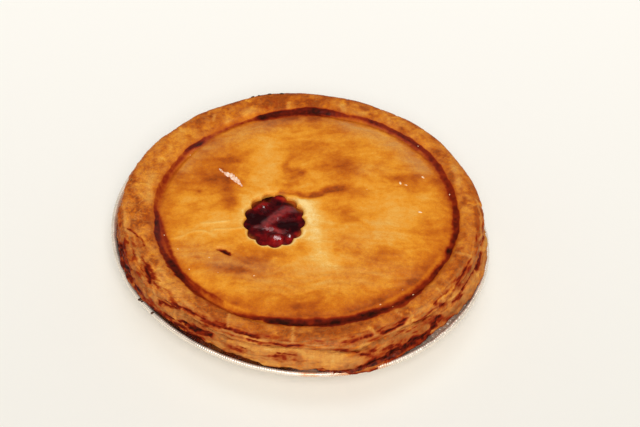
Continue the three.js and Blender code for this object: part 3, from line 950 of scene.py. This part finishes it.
# %% Top crust, how far it is baked
RADIUS_STOPS = [20, 22, 24, 30, 80, 86, 90, 95, 103, 108.5]
BAKE_STOPS = [0.3, 0.24, 0.34, 0.42, 0.45, 0.52, 0.6, 0.56, 0.6, 0.7]
BAND_BAKE = [
    (0.1, -165, 24),
    (0.09, -115, 26),
    (0.08, -75, 20),
    (0.05, -45, 16),
    (0.1, 96, 26),
    (-0.03, 138, 12),
]
EDGE_BAKE = [(0.12, -112, 32), (0.1, -68, 26), (0.07, -12, 22), (0.1, 105, 15)]
MOST_BAKED = 0.78

mottle = clouds(places, 20, 33)
warp = 9 * np.stack([clouds(places, 26, 38, 2), clouds(places, 26, 39, 2), 0 * mottle], 1)
swirls = clouds(places + warp, (20, 4, 9), 35)
strata = layers(marked, 36)
rim_pale_and_sheen = strokes(marked, RIM_PALE_AND_SHEEN)
# The near cut edge of the vent is paler: partly pale cut dough, partly a painted highlight where light
# catches it.
cut_edge_highlight = bell(radius, 21.7, 0.9) * ease(-4, -12, places[:, 1] - VENT_CENTRE[1])
bake = np.interp(radius, RADIUS_STOPS, BAKE_STOPS) + 0.08 * mottle + 0.08 * blotch + 0.08 * swirls * on_lid
bake += (strokes(hand, BROWN_MARKS) - strokes(hand, PALE_MARKS) - 0.14 * strokes(seen, PALE_LINES)) * on_lid
bake += arcs(angle, EDGE_BAKE) * bell(radius, 82, 9) * on_lid
bake += (strokes(marked, RIM_BROWN) - rim_pale_and_sheen - 0.26 * cracks + arcs(angle, BAND_BAKE)) * on_band
bake += (0.06 * blotch + 0.1 * grit - 0.1 * wrinkles) * on_band + 0.34 * strata * front_lip
bake += 0.24 * line_depth * bell(off_line, -0.4, 2) * in_ring
bake += 0.26 * strongest(marked, RIM_JUICE, 2.2) * on_band
bake = np.minimum(bake, MOST_BAKED) - 0.24 * cut_edge_highlight
# Darker towards the crease under the rolled edge: painted shade.
bake += 0.08 * ease(41, 39.4, height) * upper + 0.14 * in_vent
paint(top_crust, "bake", bake)

# %% Top crust, juice
VEIN_SIZE = (6, 1.7, 1)


def rim_stain(marks, speckle, strata):
    """Juice burnt on round the rim: dark speckled strokes, and a wider stain that soaked in round them."""
    dark = 1.1 * strongest(marks, RIM_JUICE, 1.35) * (0.9 + speckle)
    return np.maximum(dark, 0.42 * strongest(marks, RIM_JUICE, 2.8) * (1 + 0.4 * strata))


veins = layers(marked, 41, VEIN_SIZE)
juice = np.maximum(ink, soaked + 0.3 * ink) * in_ring + strokes(hand, SPLASHES) * on_lid
juice += rim_stain(marked, 0.5 * grit, strata) * on_band
# Redder towards the crease under the rolled edge: partly juice, partly painted shade.
juice += 0.36 * ease(0.02, 0.4, veins) * front_lip + 0.15 * ease(40, 39, height) * on_edge
juice += 0.2 * ease(44, 43, height) * in_vent * (1 + 0.8 * blotch) * (1 - cut_edge_highlight)
juice *= 1 - np.clip(2.5 * rim_pale_and_sheen, 0, 0.8) * on_band
paint(top_crust, "juice", juice)

# %% Top crust, egg wash and crackle
BAND_BARE = [(-0.2, 95, 40), (0.1, -122, 34)]

# Painted sheen: a paler, pinker colour where the lid shines, mixed into the bare number.
painted_sheen = strokes(hand, SHEEN_MARKS) * (1 - 0.5 * swirls + 0.4 * ripples) * on_lid
lid_bare_and_sheen = 0.45 * painted_sheen - 0.1 * swirls - 0.08 * blotch + 0.08 * grit
band_bare_and_sheen = 0.26 + arcs(angle, BAND_BARE) - 0.2 * blotch + 0.16 * grit + 3 * rim_pale_and_sheen
bare_and_sheen = 0.9 * (1 - upper) + 0.3 * in_vent + lid_bare_and_sheen * on_lid + band_bare_and_sheen * on_band
bare_and_sheen += 0.4 * ease(0.05, 0.5, -veins) * front_lip
bare_and_sheen *= 1 - 0.7 * ease(0.6, 0.76, bake) * on_band * (1 - front_lip)
paint(top_crust, "bare_and_sheen", bare_and_sheen)
shine = (0.06 + 0.34 * painted_sheen) * (1 - np.clip(2 * juice, 0, 1))
shine += arcs(angle, RING_SHEEN) * bell(radius, RING_RADIUS, 4)
paint(top_crust, "shine", shine * upper)
paint(top_crust, "crackle", 0.6 * crackled + 0.36 * on_band)

# %% Bottom crust, how far it is baked
SIDE_STREAKS = [(0.9, -148, 20), (0.7, -122, 10), (0.4, -102, 5), (0.9, -56, 14), (0.6, -30, 12)]
TAN_FRONT = (-99, 9)
COMB_SIZE = (1.5, 9, 1)
MOST_BAKED_SIDE = 0.82

burnt = ease(0.05, 0.55, clouds(case_places, (9, 9, 3.5), 14)) * on_side
case_grit = clouds(case_places, 2, 16, 2)
case_hand = case_seen + 0.9 * np.stack([lumps, flakes], 1) + 0.3 * case_grit[:, None]
case_marked = round_the_ring(case_hand)
case_angle = np.arctan2(case_places[:, 1], case_places[:, 0])
streaky = np.clip(arcs(case_angle, SIDE_STREAKS), 0, 1) * in_front
tan_front = arc(case_angle, *TAN_FRONT)
case_strata = layers(case_marked, 17)
combed = layers(case_marked, 19, COMB_SIZE)
# The pale strokes on the side: pale dough in cracks, and painted highlights along the lip.
case_pale_and_sheen = strokes(case_marked, RIM_PALE_AND_SHEEN) * in_front
side_bake = 0.58 + 0.18 * lumps - 0.06 * flakes + 0.13 * case_grit + 0.16 * burnt + 0.12 * streaky
side_bake += 0.34 * case_strata * (0.4 + 0.6 * streaky) + 0.16 * combed - 0.1 * tan_front
side_bake += 0.26 * strongest(case_marked, RIM_JUICE, 2.2) * in_front
# Darker at the low edge, where it baked on the foil, and towards the crease under the top crust, as painted
# shade.
side_bake += 0.2 * ease(28, 25.4, case_height) + 0.06 * ease(37, 38.4, case_height)
side_bake += strokes(case_marked, RIM_BROWN) * in_front - case_pale_and_sheen
paint(bottom_crust, "bake", np.minimum(side_bake, MOST_BAKED_SIDE))

# %% Bottom crust, juice and bare dough
side_veins = ease(0.02, 0.4, layers(case_marked, 18, VEIN_SIZE))
side_juice = rim_stain(case_marked, 0.7 * case_grit, case_strata) * in_front
side_juice += 0.36 * side_veins * (0.3 * in_front + 0.7 * streaky)
# The low edge gets juice: partly burnt juice, partly a painted shadow line where the crust meets the foil.
side_juice += (0.1 + 0.3 * (1 - in_front)) * burnt + 0.5 * ease(27.6, 25.6, case_height) * on_side
paint(bottom_crust, "juice", side_juice * (1 - np.clip(2.5 * case_pale_and_sheen, 0, 0.8)))
side_bare = 0.82 - 0.3 * burnt - 0.3 * lumps + 0.3 * combed + 0.2 * case_grit - 0.3 * streaky
paint(bottom_crust, "bare_and_sheen", side_bare + 0.32 * tan_front + 2 * case_pale_and_sheen)
paint(bottom_crust, "crackle", 0.2 * in_front * on_side)

# %% [markdown]
# ## Pastry finish
# Both crusts share one effect, a node group that turns the painted numbers into colour, roughness and fine
# height, with specks, grain and crackle that are too small for the mesh. Each material places the group and
# keeps its own shader, glossy with egg wash on top and matt at the side.

# %% Pastry node group
CRUST_TONES = [
    (0.0, srgb(250, 214, 140)),
    (0.2, srgb(241, 180, 84)),
    (0.4, srgb(234, 150, 40)),
    (0.55, srgb(210, 116, 24)),
    (0.7, srgb(180, 84, 18)),
    (0.85, srgb(126, 50, 16)),
    (1.0, srgb(60, 24, 13)),
]
JUICE_TONES = [
    (0.15, srgb(184, 78, 18)),
    (0.45, srgb(144, 42, 12)),
    (0.75, srgb(94, 23, 10)),
    (1.0, srgb(48, 17, 9)),
]
BARE_DOUGH = srgb(202, 142, 76)
PALE_CRACK = srgb(240, 166, 78)
PAINTED = ("Bake", "Juice", "Bare_and_sheen", "Crackle")
SHADE_DEPTH = 0.3
CRACK_BEND = (0.006, 0.006, 0.006)

baked = bpy.data.node_groups.new("baked_pastry", "ShaderNodeTree")
for name in PAINTED:
    baked.interface.new_socket(name, in_out="INPUT", socket_type="NodeSocketFloat")
baked.interface.new_socket("Color", in_out="OUTPUT", socket_type="NodeSocketColor")
baked.interface.new_socket("Roughness", in_out="OUTPUT", socket_type="NodeSocketFloat")
baked.interface.new_socket("Height", in_out="OUTPUT", socket_type="NodeSocketFloat")
painted = baked.nodes.new("NodeGroupInput").outputs
finished = baked.nodes.new("NodeGroupOutput").inputs

# %% Pastry, tones of dough and juice
grain = fixed_noise(baked, 380, 5, 0.62).outputs["Fac"]
specks = fixed_noise(baked, 1300, 3, 0.6).outputs["Fac"]
grain_shade = times(baked, plus(baked, grain, -0.5), SHADE_DEPTH)
speck_shade = times(baked, plus(baked, specks, -0.5), SHADE_DEPTH)
flaky = plus(baked, times(baked, painted["Bare_and_sheen"], 1.3), 0.8)
flaky = plus(baked, times(baked, painted["Crackle"], 0.9), flaky)
spread = times(baked, plus(baked, grain_shade, speck_shade), flaky)
crust_tones = toned(baked, plus(baked, painted["Bake"], spread), CRUST_TONES)
tan_flecks = times(baked, plus(baked, specks, -0.5), 0.6)
# The bare number mixes in bare dough colour, and on the lid and the lip it also brings painted sheen.
tan = plus(baked, times(baked, painted["Bare_and_sheen"], 0.68), tan_flecks)
dough = blended(baked, tan, crust_tones, BARE_DOUGH)
juice_depth = plus(baked, painted["Juice"], times(baked, grain_shade, 0.8))
juice_tones = toned(baked, juice_depth, JUICE_TONES)
juice_cover = soft_step(baked, juice_depth, 0.05, 0.55)

# %% Pastry, crackle and relief
where = baked.nodes.new("ShaderNodeTexCoord").outputs["Object"]
bends = fixed_noise(baked, 140, 2).outputs["Color"]
bend = place_node(baked, "ShaderNodeVectorMath", operation="MULTIPLY_ADD")
for socket, value in zip(bend.inputs, (bends, CRACK_BEND, where)):
    feed(baked, socket, value)
cells = place_node(baked, "ShaderNodeTexVoronoi", feature="DISTANCE_TO_EDGE", Scale=125)
baked.links.new(bend.outputs["Vector"], cells.inputs["Vector"])
lines = soft_step(baked, cells.outputs["Distance"], 0.09, 0.0)
some_lines = times(baked, lines, soft_step(baked, grain, 0.42, 0.62))
crack_lines = times(baked, some_lines, painted["Crackle"])
dough = blended(baked, times(baked, crack_lines, 0.36), dough, PALE_CRACK)
baked.links.new(blended(baked, juice_cover, dough, juice_tones), finished["Color"])
matt = plus(baked, times(baked, painted["Bare_and_sheen"], 0.32), 0.3)
baked.links.new(plus(baked, matt, grain_shade), finished["Roughness"])
baked.links.new(plus(baked, grain, times(baked, specks, 0.5)), finished["Height"])
print("pastry group has", len(baked.nodes), "nodes")

# %% Crust materials
def pastry_material(name, bump_depth, glazed):
    """A crust finish: the shared pastry effect, and egg wash over it where the crust is glazed."""
    material, tree, shader = new_finish(name, {"Coat Roughness": 0.25, "Specular IOR Level": 0.02})
    effect = place_node(tree, "ShaderNodeGroup", node_tree=baked)
    for value in PAINTED:
        tree.links.new(painted_value(tree, value.lower()), effect.inputs[value])
    tree.links.new(effect.outputs["Color"], shader.inputs["Base Color"])
    tree.links.new(effect.outputs["Roughness"], shader.inputs["Roughness"])
    if glazed:
        tree.links.new(painted_value(tree, "shine"), shader.inputs["Coat Weight"])
    bumped(tree, shader, effect.outputs["Height"], 0.5, bump_depth)
    return material


top_crust.data.materials.append(pastry_material("egg_washed_crust", bump_depth=0.35, glazed=True))
bottom_crust.data.materials.append(pastry_material("flaky_crust", bump_depth=0.9, glazed=False))
in_place(top_crust, "crust")
in_place(bottom_crust, "crust")

# %% [markdown]
# ## Cherry filling
# Dark red jelly with cherries in it stands in the vent, just under the lid, and runs on below it. Cherries
# could be modelled one by one, but the jelly covers them, so they show as swellings of one wet skin. Three
# numbers are painted on it: how it glows, how thin and orange it is where it meets the pastry, and how wet
# it is, since smooth skin mirrors the pale room and the rest is dark. The glow is brighter along the wet
# films, as painted warmth of their reflection, and darker in the notch at the top, as painted shade.

# %% Filling, turned and settled
UNDER_LID = [(60, 5.5), (87.4, 19.4), (84.8, 37), (50, 38.9), (20.3, 38.9)]
MENISCUS = [(20.8, 41), (20.8, 42.4), (19.9, 43), (18.2, 42.9)]
JELLY = [(r, 42.8) for r in (15.8, 13.6, 11.4, 9.2, 7, 4.8, 2.6)]
CHERRIES = [
    (1.6, 4.6, [(-8, 11), (-6, 12)]),
    (1.7, 3.4, [(1, -15.4), (4, -15.4)]),
    (1.1, 2.4, [(9.5, -13.4), (10, -13.4)]),
    (0.6, 5, [(8, 10), (-5, -4)]),
    (-1, 3, [(-13, 2), (-11, -4)]),
    (-0.9, 2.8, [(3, -2), (12, 0)]),
    (-1.2, 2, [(-7, 19), (-5, 18)]),
    (-0.7, 2, [(-9, -9), (-1, -9)]),
    (1.9, 1.7, [(-2, -15.2), (5, -14.6)]),
    (1.2, 1.1, [(9, -13), (9.8, -13.2)]),
    (1, 1, [(-7.4, 10.4), (-6, 10)]),
]
SUNK_EDGES = [
    (1.5, 4, [(9, 19), (15, 13)]),
    (1, 3, [(-14, 13), (-11, 17)]),
    (2, 2.4, [(-6, 21.4), (-5, 21.4)]),
]

filling = turned("cherry_filling", LOBES * 8, UNDER_LID + MENISCUS + JELLY, FIRST_LOBE)
smoothed(filling, 2)
filling_plain = read_points(filling)
filling_places = settled(filling_plain)
filling_reach = np.hypot(filling_plain[:, 0], filling_plain[:, 1])
shown = ease(42, 42.7, filling_plain[:, 2]) * ease(20.6, 18, filling_reach)
from_vent = filling_places[:, :2] - VENT_CENTRE
filling_places[:, 2] += (strokes(from_vent, CHERRIES) + 0.2 * clouds(filling_places, 3.6, 41)) * shown
filling_places[:, 2] -= strongest(from_vent, SUNK_EDGES) * ease(41.4, 42.4, filling_plain[:, 2])
write_points(filling, filling_places)

# %% Filling, painted
GLOWS = [
    (0.7, 3, [(-10, 11), (-6, 13)]),
    (0.75, 2, [(2, 19.4), (6, 18.6)]),
    (0.45, 3, [(-9, -12), (-3, -14), (4, -16)]),
    (0.5, 2.2, [(-6, -18.4), (4, -19.4)]),
    (0.45, 2.2, [(9, -16.4), (14, -11)]),
    (0.35, 2, [(15, -3), (15, 3)]),
    # Brighter red along the wet films: painted warmth of their reflection.
    (0.6, 3.4, [(9, 10), (1, 3), (-5, -3), (4, -9)]),
    (0.3, 2, [(-11, -4.6), (-5, -5.6)]),
    (-0.5, 3.4, [(-14, 2), (-9, 0)]),
    (-0.5, 3, [(3, -4), (13, -3)]),
    # Darker in the notch at the top of the vent: painted shade.
    (-0.6, 1.6, [(-6, 21), (-4.6, 20.4)]),
]
THIN_EDGES = [
    (0.9, 2.6, [(8, 20.4), (13, 16.4), (17, 10.4)]),
    (0.5, 2, [(-17, 10), (-14.6, 14), (-11.6, 18)]),
    (0.5, 1.6, [(-15, -13), (-12, -16.4)]),
    (0.5, 1.6, [(15.4, -13), (17.6, -8)]),
]
FILMS = [
    (1, 3.4, [(11, 9.4), (6, 9.6), (0, 2.6), (-5, -2.6)]),
    (0.9, 1.8, [(-11, -4.6), (-5, -5.6), (1, -8), (6, -10)]),
]
GLINTS = [
    (0.62, 1, [(-1.6, -15.6), (2, -16.4), (4.6, -17.2)]),
    (1, 1, [(8.6, -13.6), (9.8, -14)]),
    (0.8, 0.5, [(6.6, -7.6), (8.4, -8.4)]),
    (0.9, 0.6, [(-7.4, 10.4), (-6.6, 9.8)]),
    (0.8, 0.5, [(-4.6, 12), (-4.2, 11.6)]),
    (0.8, 0.5, [(-10, 9.4), (-9.6, 9.2)]),
]

rim_glow = 0.08 * ease(16, 19, filling_reach)
jelly_grit = clouds(filling_places, 1.8, 43)
jelly_clouds = 0.3 * clouds(filling_places, 3, 42) + 0.12 * jelly_grit
paint(filling, "glow", 0.12 + strokes(from_vent, GLOWS) + rim_glow + jelly_clouds)
paint(filling, "thin", strongest(from_vent + 0.6 * jelly_grit[:, None], THIN_EDGES))
film = strongest(from_vent + 0.8 * jelly_grit[:, None], FILMS)
wet_film = 0.58 * ease(0.2, 0.8, film) * (1 + 0.4 * jelly_grit)
wet_glint = 0.9 * ease(0.3, 0.9, strongest(from_vent, GLINTS))
paint(filling, "wet", 0.02 + wet_film + wet_glint)

# %% Jelly
JELLY_TONES = [
    (0.0, srgb(36, 2, 5)),
    (0.35, srgb(80, 5, 9)),
    (0.7, srgb(126, 11, 13)),
    (1.0, srgb(162, 26, 20)),
]
THIN_JELLY = srgb(176, 84, 24)
JELLY_LOOK = {"Roughness": 0.3, "Specular IOR Level": 0.04, "Coat Roughness": 0.06, "Coat IOR": 1.9}

jelly, jelly_tree, jelly_shader = new_finish("cherry_jelly", JELLY_LOOK)
jelly_tones = toned(jelly_tree, painted_value(jelly_tree, "glow"), JELLY_TONES)
jelly_colour = blended(jelly_tree, painted_value(jelly_tree, "thin"), jelly_tones, THIN_JELLY)
jelly_tree.links.new(jelly_colour, jelly_shader.inputs["Base Color"])
jelly_tree.links.new(painted_value(jelly_tree, "wet"), jelly_shader.inputs["Coat Weight"])
filling.data.materials.append(jelly)
in_place(filling, "filling")

# %% [markdown]
# ## Foil pan
# The pan is pressed from thin foil: a flat base, a sloping wall with shallow pleats, and a flange that ends
# in a rolled bead, crimped all the way round. The wall could be a plain surface with a bump, but light on
# foil shows every fold, so pleats and crimps are in the mesh, with four columns to a crimp. Juice stained
# the rim in front and the bead is scuffed. The foil's colour is tinted warm as a painted reflection of the
# crust, and at the right the flange is painted tan as the crust mirrored in it, with pale painted glints.

# %% Pan, turned
CRIMPS = 500
COLUMNS_TO_A_CRIMP = 4
BEAD_MIDDLE = 113.5
BEAD_RADIUS = 1.4
BEAD_TURNS = [math.radians(a) for a in (-130, -95, -60, -20, 20, 60, 95, 130)]
PAN_OUTSIDE = [(50, 0), (80, 0), (83, 0.1), (85, 0.7), (86.2, 2), (92, 7.7), (98, 13.7), (104, 19.6)]
FLANGE_BELOW = [(106.6, 22.2), (107.4, 22.6), (109.5, 22.7), (111.4, 22.6)]
BEAD = [(BEAD_MIDDLE + BEAD_RADIUS * math.cos(a), RIM_HEIGHT + BEAD_RADIUS * math.sin(a)) for a in BEAD_TURNS]
FLANGE_ABOVE = [(111.4, 23.1), (109.4, 23.1), (107.2, 23), (106.1, 22.5)]
INNER_WALL = [(103.5, 19.9), (97.5, 14), (91.5, 8), (85.7, 2.4)]
INNER_BASE = [(84.6, 1.1), (82.8, 0.5), (80, 0.4), (50, 0.4)]
PAN_PROFILE = PAN_OUTSIDE + FLANGE_BELOW + BEAD + FLANGE_ABOVE + INNER_WALL + INNER_BASE

pan = turned("foil_pan_skin", CRIMPS * COLUMNS_TO_A_CRIMP, PAN_PROFILE)
shaded_smooth(pan)

# %% Pan, crimped and squeezed
FLANGE_CRIMP = 0.2
BEAD_CRIMP = 0.14
PLEATS = 125
PLEAT_DEPTH = 0.3
CRUMPLE = 0.6
# Where the flange is crumpled and painted tan as a reflection of the crust.
PAINTED_FLANGE_PLACES = [(1, -38, 20)]

pan_plain = read_points(pan)
pan_angle = np.arctan2(pan_plain[:, 1], pan_plain[:, 0])
pan_radius = np.hypot(pan_plain[:, 0], pan_plain[:, 1])
pan_height = pan_plain[:, 2]
on_rim = ease(107.4, 110, pan_radius)
on_wall = ease(2, 6, pan_height) * ease(22, 18, pan_height)
in_painted_flange_place = arcs(pan_angle, PAINTED_FLANGE_PLACES)
uneven = 1 + 0.6 * clouds(pan_plain, 14, 51, 2)
crimp_depth = mixed(FLANGE_CRIMP, BEAD_CRIMP, ease(111, 112.4, pan_radius))
crimp = crimp_depth * np.cos(CRIMPS * pan_angle) * uneven
pleat = PLEAT_DEPTH * np.cos(PLEATS * pan_angle) * uneven
crumple = CRUMPLE * clouds(pan_plain, 2.2, 53, 2) * in_painted_flange_place
pan_plan = pan_plain[:, :2] * (squeeze(pan_angle, pan_height) + pleat * on_wall / pan_radius)[:, None]
pan_lift = (crimp + crumple + 0.3 * (uneven - 1)) * on_rim
write_points(pan, np.column_stack([pan_plan, pan_height + pan_lift]))

# %% Pan, stained, worn and painted with reflections
STAINS = [(0.9, -86, 3), (1, -75, 5), (0.8, -66.5, 3.5)]
CRUST_REFLECTION_SHARE = 0.5
WEAR = 0.5

on_flange = ease(105.8, 107, pan_radius) * ease(112.6, 111.4, pan_radius) * ease(22.4, 22.9, pan_height)
on_bead = ease(111.8, 112.8, pan_radius)
paint(pan, "stain", arcs(pan_angle, STAINS) * on_rim * (0.7 + 0.6 * clouds(pan_plain, 2.5, 52)))
# Painted reflection: a tan share on the flange at the right, standing for the crust mirrored in it.
paint(pan, "crust_reflection", CRUST_REFLECTION_SHARE * in_painted_flange_place * on_flange * (1 + 0.9 * clouds(pan_plain, 2.4, 55, 2)))
paint(pan, "worn", WEAR * on_bead * (1 + 0.5 * clouds(pan_plain, 9, 54, 2)))

# %% Foil
# Foil tones: the warm tint and the tan are painted reflections of the crust, and the pale specks are painted
# glints.
FOIL_WARM_REFLECTION_TINT = srgb(246, 232, 214)
JUICE_STAIN = srgb(222, 132, 36)
PAINTED_CRUST_REFLECTION = srgb(198, 122, 62)
PAINTED_GLINT = srgb(255, 240, 222)
GLINT_SHARE = 1.9

foil, foil_tree, foil_shader = new_finish("pressed_foil", {})
stain, crust_reflection, worn = [painted_value(foil_tree, name) for name in ("stain", "crust_reflection", "worn")]
scuffs = fixed_noise(foil_tree, 260, 4, 0.6).outputs["Fac"]
glint_noise = fixed_noise(foil_tree, 560, 2).outputs["Fac"]
# Painted glints: pale specks on the tan-painted flange.
painted_glints = times(foil_tree, soft_step(foil_tree, glint_noise, 0.52, 0.66), crust_reflection)
painted_glints = times(foil_tree, painted_glints, GLINT_SHARE)
foil_colour = blended(foil_tree, stain, FOIL_WARM_REFLECTION_TINT, JUICE_STAIN)
foil_colour = blended(foil_tree, crust_reflection, foil_colour, PAINTED_CRUST_REFLECTION)
foil_colour = blended(foil_tree, painted_glints, foil_colour, PAINTED_GLINT)
foil_tree.links.new(foil_colour, foil_shader.inputs["Base Color"])
covered = stain
for layer in (crust_reflection, worn, painted_glints):
    covered = arithmetic(foil_tree, "MAXIMUM", covered, layer)
foil_tree.links.new(arithmetic(foil_tree, "SUBTRACT", 1.0, covered), foil_shader.inputs["Metallic"])
scuffed = plus(foil_tree, times(foil_tree, scuffs, 0.3), 0.1)
foil_tree.links.new(scuffed, foil_shader.inputs["Roughness"])
bumped(foil_tree, foil_shader, scuffs, 0.2, 0.2)
pan.data.materials.append(foil)
in_place(pan, "foil_pan")

# %% [markdown]
# ## Crumbs, flecks and boiled juice
# Small things lie on the pie: raised flecks of dried egg wash, coloured pale as painted glints of the glaze,
# burnt crumbs at the edge, and a run of juice that boiled over and set on the rim in lumps that overlap.
# They could be scattered by a particle system.
# Here each has its place, and a straight line from above or from the camera finds the skin that carries it.

# %% Finding the skin
PIE_SKINS = (top_crust, bottom_crust, filling, pan)
HIGH_ABOVE = Vector((0, 0, 0.05))


def skin_at(place, from_above):
    """The skin under a place on the lid's level, looked for straight down or along the line of sight."""
    target = Vector((*place, LID_LEVEL)) * MM
    start = target + HIGH_ABOVE if from_above else camera.location
    sight = (target - start).normalized()
    hits = [piece.ray_cast(start, sight) for piece in PIE_SKINS]
    found = [(spot, normal) for hit, spot, normal, _ in hits if hit]
    return min(found, key=lambda pair: (pair[0] - start).length)


# %% Lumps and their finish
def lumps_on(name, spots, from_above):
    """Small uneven lumps, joined into one piece; each spot is (place, width, thickness) in millimetres."""
    bpy.ops.object.select_all(action="DESELECT")
    made = []
    for place, width, thickness in spots:
        spot, normal = skin_at(place, from_above)
        bpy.ops.mesh.primitive_ico_sphere_add(subdivisions=2, radius=0.5 * MM, location=(0, 0, 0))
        lump = bpy.context.object
        size = Matrix.Diagonal((width, 0.6 * width, thickness, 1))
        turn = normal.to_track_quat("Z", "Y").to_matrix().to_4x4()
        lump.data.transform(Matrix.Translation(spot) @ turn @ size)
        made.append(lump)
    for lump in made:
        lump.select_set(True)
    bpy.ops.object.join()
    piece = named(bpy.context.object, name)
    raise_skin(piece, 0.14 * clouds(read_points(piece), 1.3, 61))
    shaded_smooth(piece)
    return piece


def speckled_material(name, dark, light, scale, gloss):
    """A small thing's finish: two tones mixed by noise, under a coat."""
    look = {"Roughness": 0.5, "Specular IOR Level": 0.1, "Coat Weight": gloss, "Coat Roughness": 0.12}
    material, tree, shader = new_finish(name, look)
    clots = fixed_noise(tree, scale, 3, 0.55).outputs["Fac"]
    tree.links.new(toned(tree, clots, [(0.35, dark), (0.65, light)]), shader.inputs["Base Color"])
    return material


# %% Flecks, crumbs and lumps of juice
# Raised flecks of dried egg wash, coloured pale as painted glints.
GLINT_FLECKS = [
    ((61.6, 22.6), 2.6, 0.6),
    ((65.2, 21.2), 2, 0.5),
    ((76, 29), 2.6, 0.6),
    ((73, -2.4), 2.6, 0.6),
    ((41, 16), 0.8, 0.3),
    ((-25, -57), 1.3, 0.5),
    ((-63, -52), 1, 0.5),
    ((-46, -55), 0.6, 0.3),
    ((-52, -43), 0.6, 0.3),
    ((-71, -36), 1, 0.4),
    ((-80, -24), 0.9, 0.4),
    ((67, -67), 1.2, 0.5),
    ((61, -65), 0.6, 0.3),
    ((48, -76), 1.2, 0.5),
    ((55, -78), 0.6, 0.3),
    ((74, 59), 0.7, 0.3),
    ((92, 16), 1.2, 0.5),
    ((-70, 48), 0.8, 0.3),
]
TOP_CRUMBS = [((-33, 103), 2.6, 1.6), ((-29, 104.5), 2, 1), ((-22, 106), 3, 1.3), ((-14, 107), 3.4, 1)]
RIM_CRUMBS = [((-89, -77), 3, 1), ((-87.6, -78.6), 2, 0.9), ((-81, -87), 2.4, 0.9), ((-99, -56.5), 2, 0.9)]
RUN_X = [18, 24, 30, 36, 41, 46, 51, 57]
RUN_Y = [-126.6, -127, -127, -125, -122.6, -119.6, -117, -112.6]
RUN_LUMPS = 30
RUN_STEPS = np.linspace(0, len(RUN_X) - 1, RUN_LUMPS)
RUN = [np.interp(RUN_STEPS, range(len(stops)), stops) for stops in (RUN_X, RUN_Y)]
JUICE_LUMPS = [
    (place, 3.4 + 1.4 * math.sin(7 * i), 1 + 0.3 * math.sin(5 * i)) for i, place in enumerate(zip(*RUN))
]

# The flecks' pale tones are painted glints.
fleck_glint_finish = speckled_material("dried_egg_wash_glints", srgb(244, 176, 100), srgb(255, 226, 190), 900, 0.4)
charred = speckled_material("charred_crumb", srgb(38, 22, 14), srgb(96, 52, 26), 700, 0.1)
set_juice = speckled_material("set_juice", srgb(62, 14, 6), srgb(140, 46, 12), 260, 0.12)
small_things = [
    (lumps_on("glaze_glint_flecks", GLINT_FLECKS, True), fleck_glint_finish),
    (lumps_on("burnt_crumbs", TOP_CRUMBS, True), charred),
    (lumps_on("rim_crumbs", RIM_CRUMBS, False), charred),
    (lumps_on("boiled_juice", JUICE_LUMPS, False), set_juice),
]
for piece, finish in small_things:
    piece.data.materials.append(finish)
    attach(piece, "root")

# %% [markdown]
# ## Lifted flake
# To the left of the vent a long thin flake of the lid stands up, and its pale colour is a painted highlight.
# It could be pulled out of the lid's own mesh, but it is thinner than that mesh is fine, so it is a leaf of
# its own: a grid that is drawn along a line, tapered, ribbed and made solid, with one edge in the lid.

# %% Flake
FLAKE_START = np.array([-50, 33.5])
FLAKE_END = np.array([-35.5, 17.5])
FLAKE_WIDTH = 3
FLAKE_LIFT = 1.1
FLAKE_RIBS = 9
RIB_DEPTH = 0.16
TAPER = ([0, 0.1, 0.22, 0.3, 0.45, 0.75, 1], [0.2, 0.36, 0.3, 0.7, 1, 0.8, 0.2])
SWAY = ([0, 0.15, 0.3, 0.5, 0.8, 1], [-0.8, -1.2, -0.5, 0.5, 0.2, -0.2])

bpy.ops.object.select_all(action="DESELECT")
bpy.ops.mesh.primitive_grid_add(x_subdivisions=40, y_subdivisions=6, size=1, location=(0, 0, 0))
flake = named(bpy.context.object, "lifted_flake")
grid = read_points(flake) * MM
along = grid[:, 0] + 0.5
across = grid[:, 1]
run = FLAKE_END - FLAKE_START
aside = np.array([-run[1], run[0]]) / np.hypot(*run)
torn = 1 + 0.4 * clouds(np.column_stack([along * 20, 3 * np.sign(across), 0 * along]), 1.6, 62)
taper = np.interp(along, *TAPER) * torn
sideways = across * FLAKE_WIDTH * taper + np.interp(along, *SWAY)
flake_plan = FLAKE_START + along[:, None] * run + sideways[:, None] * aside
lid_skin = np.array([skin_at(place, True)[0].z / MM for place in flake_plan])
ribs = RIB_DEPTH * np.cos(2 * math.pi * FLAKE_RIBS * along + 3 * across)
flake_rise = 0.1 + FLAKE_LIFT * (across + 0.5) * taper + ribs
write_points(flake, np.column_stack([flake_plan, lid_skin + flake_rise]))
leaf = flake.modifiers.new("leaf", "SOLIDIFY")
leaf.thickness = 0.4 * MM
leaf.offset = 0
bpy.ops.object.modifier_apply(modifier=leaf.name)
shaded_smooth(flake)
# Painted highlight: the flake's pale tones stand for light caught on it.
flake_highlight_finish = speckled_material("torn_flake_painted_highlight", srgb(224, 150, 100), srgb(255, 226, 204), 620, 0.5)
flake.data.materials.append(flake_highlight_finish)
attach(flake, "root")
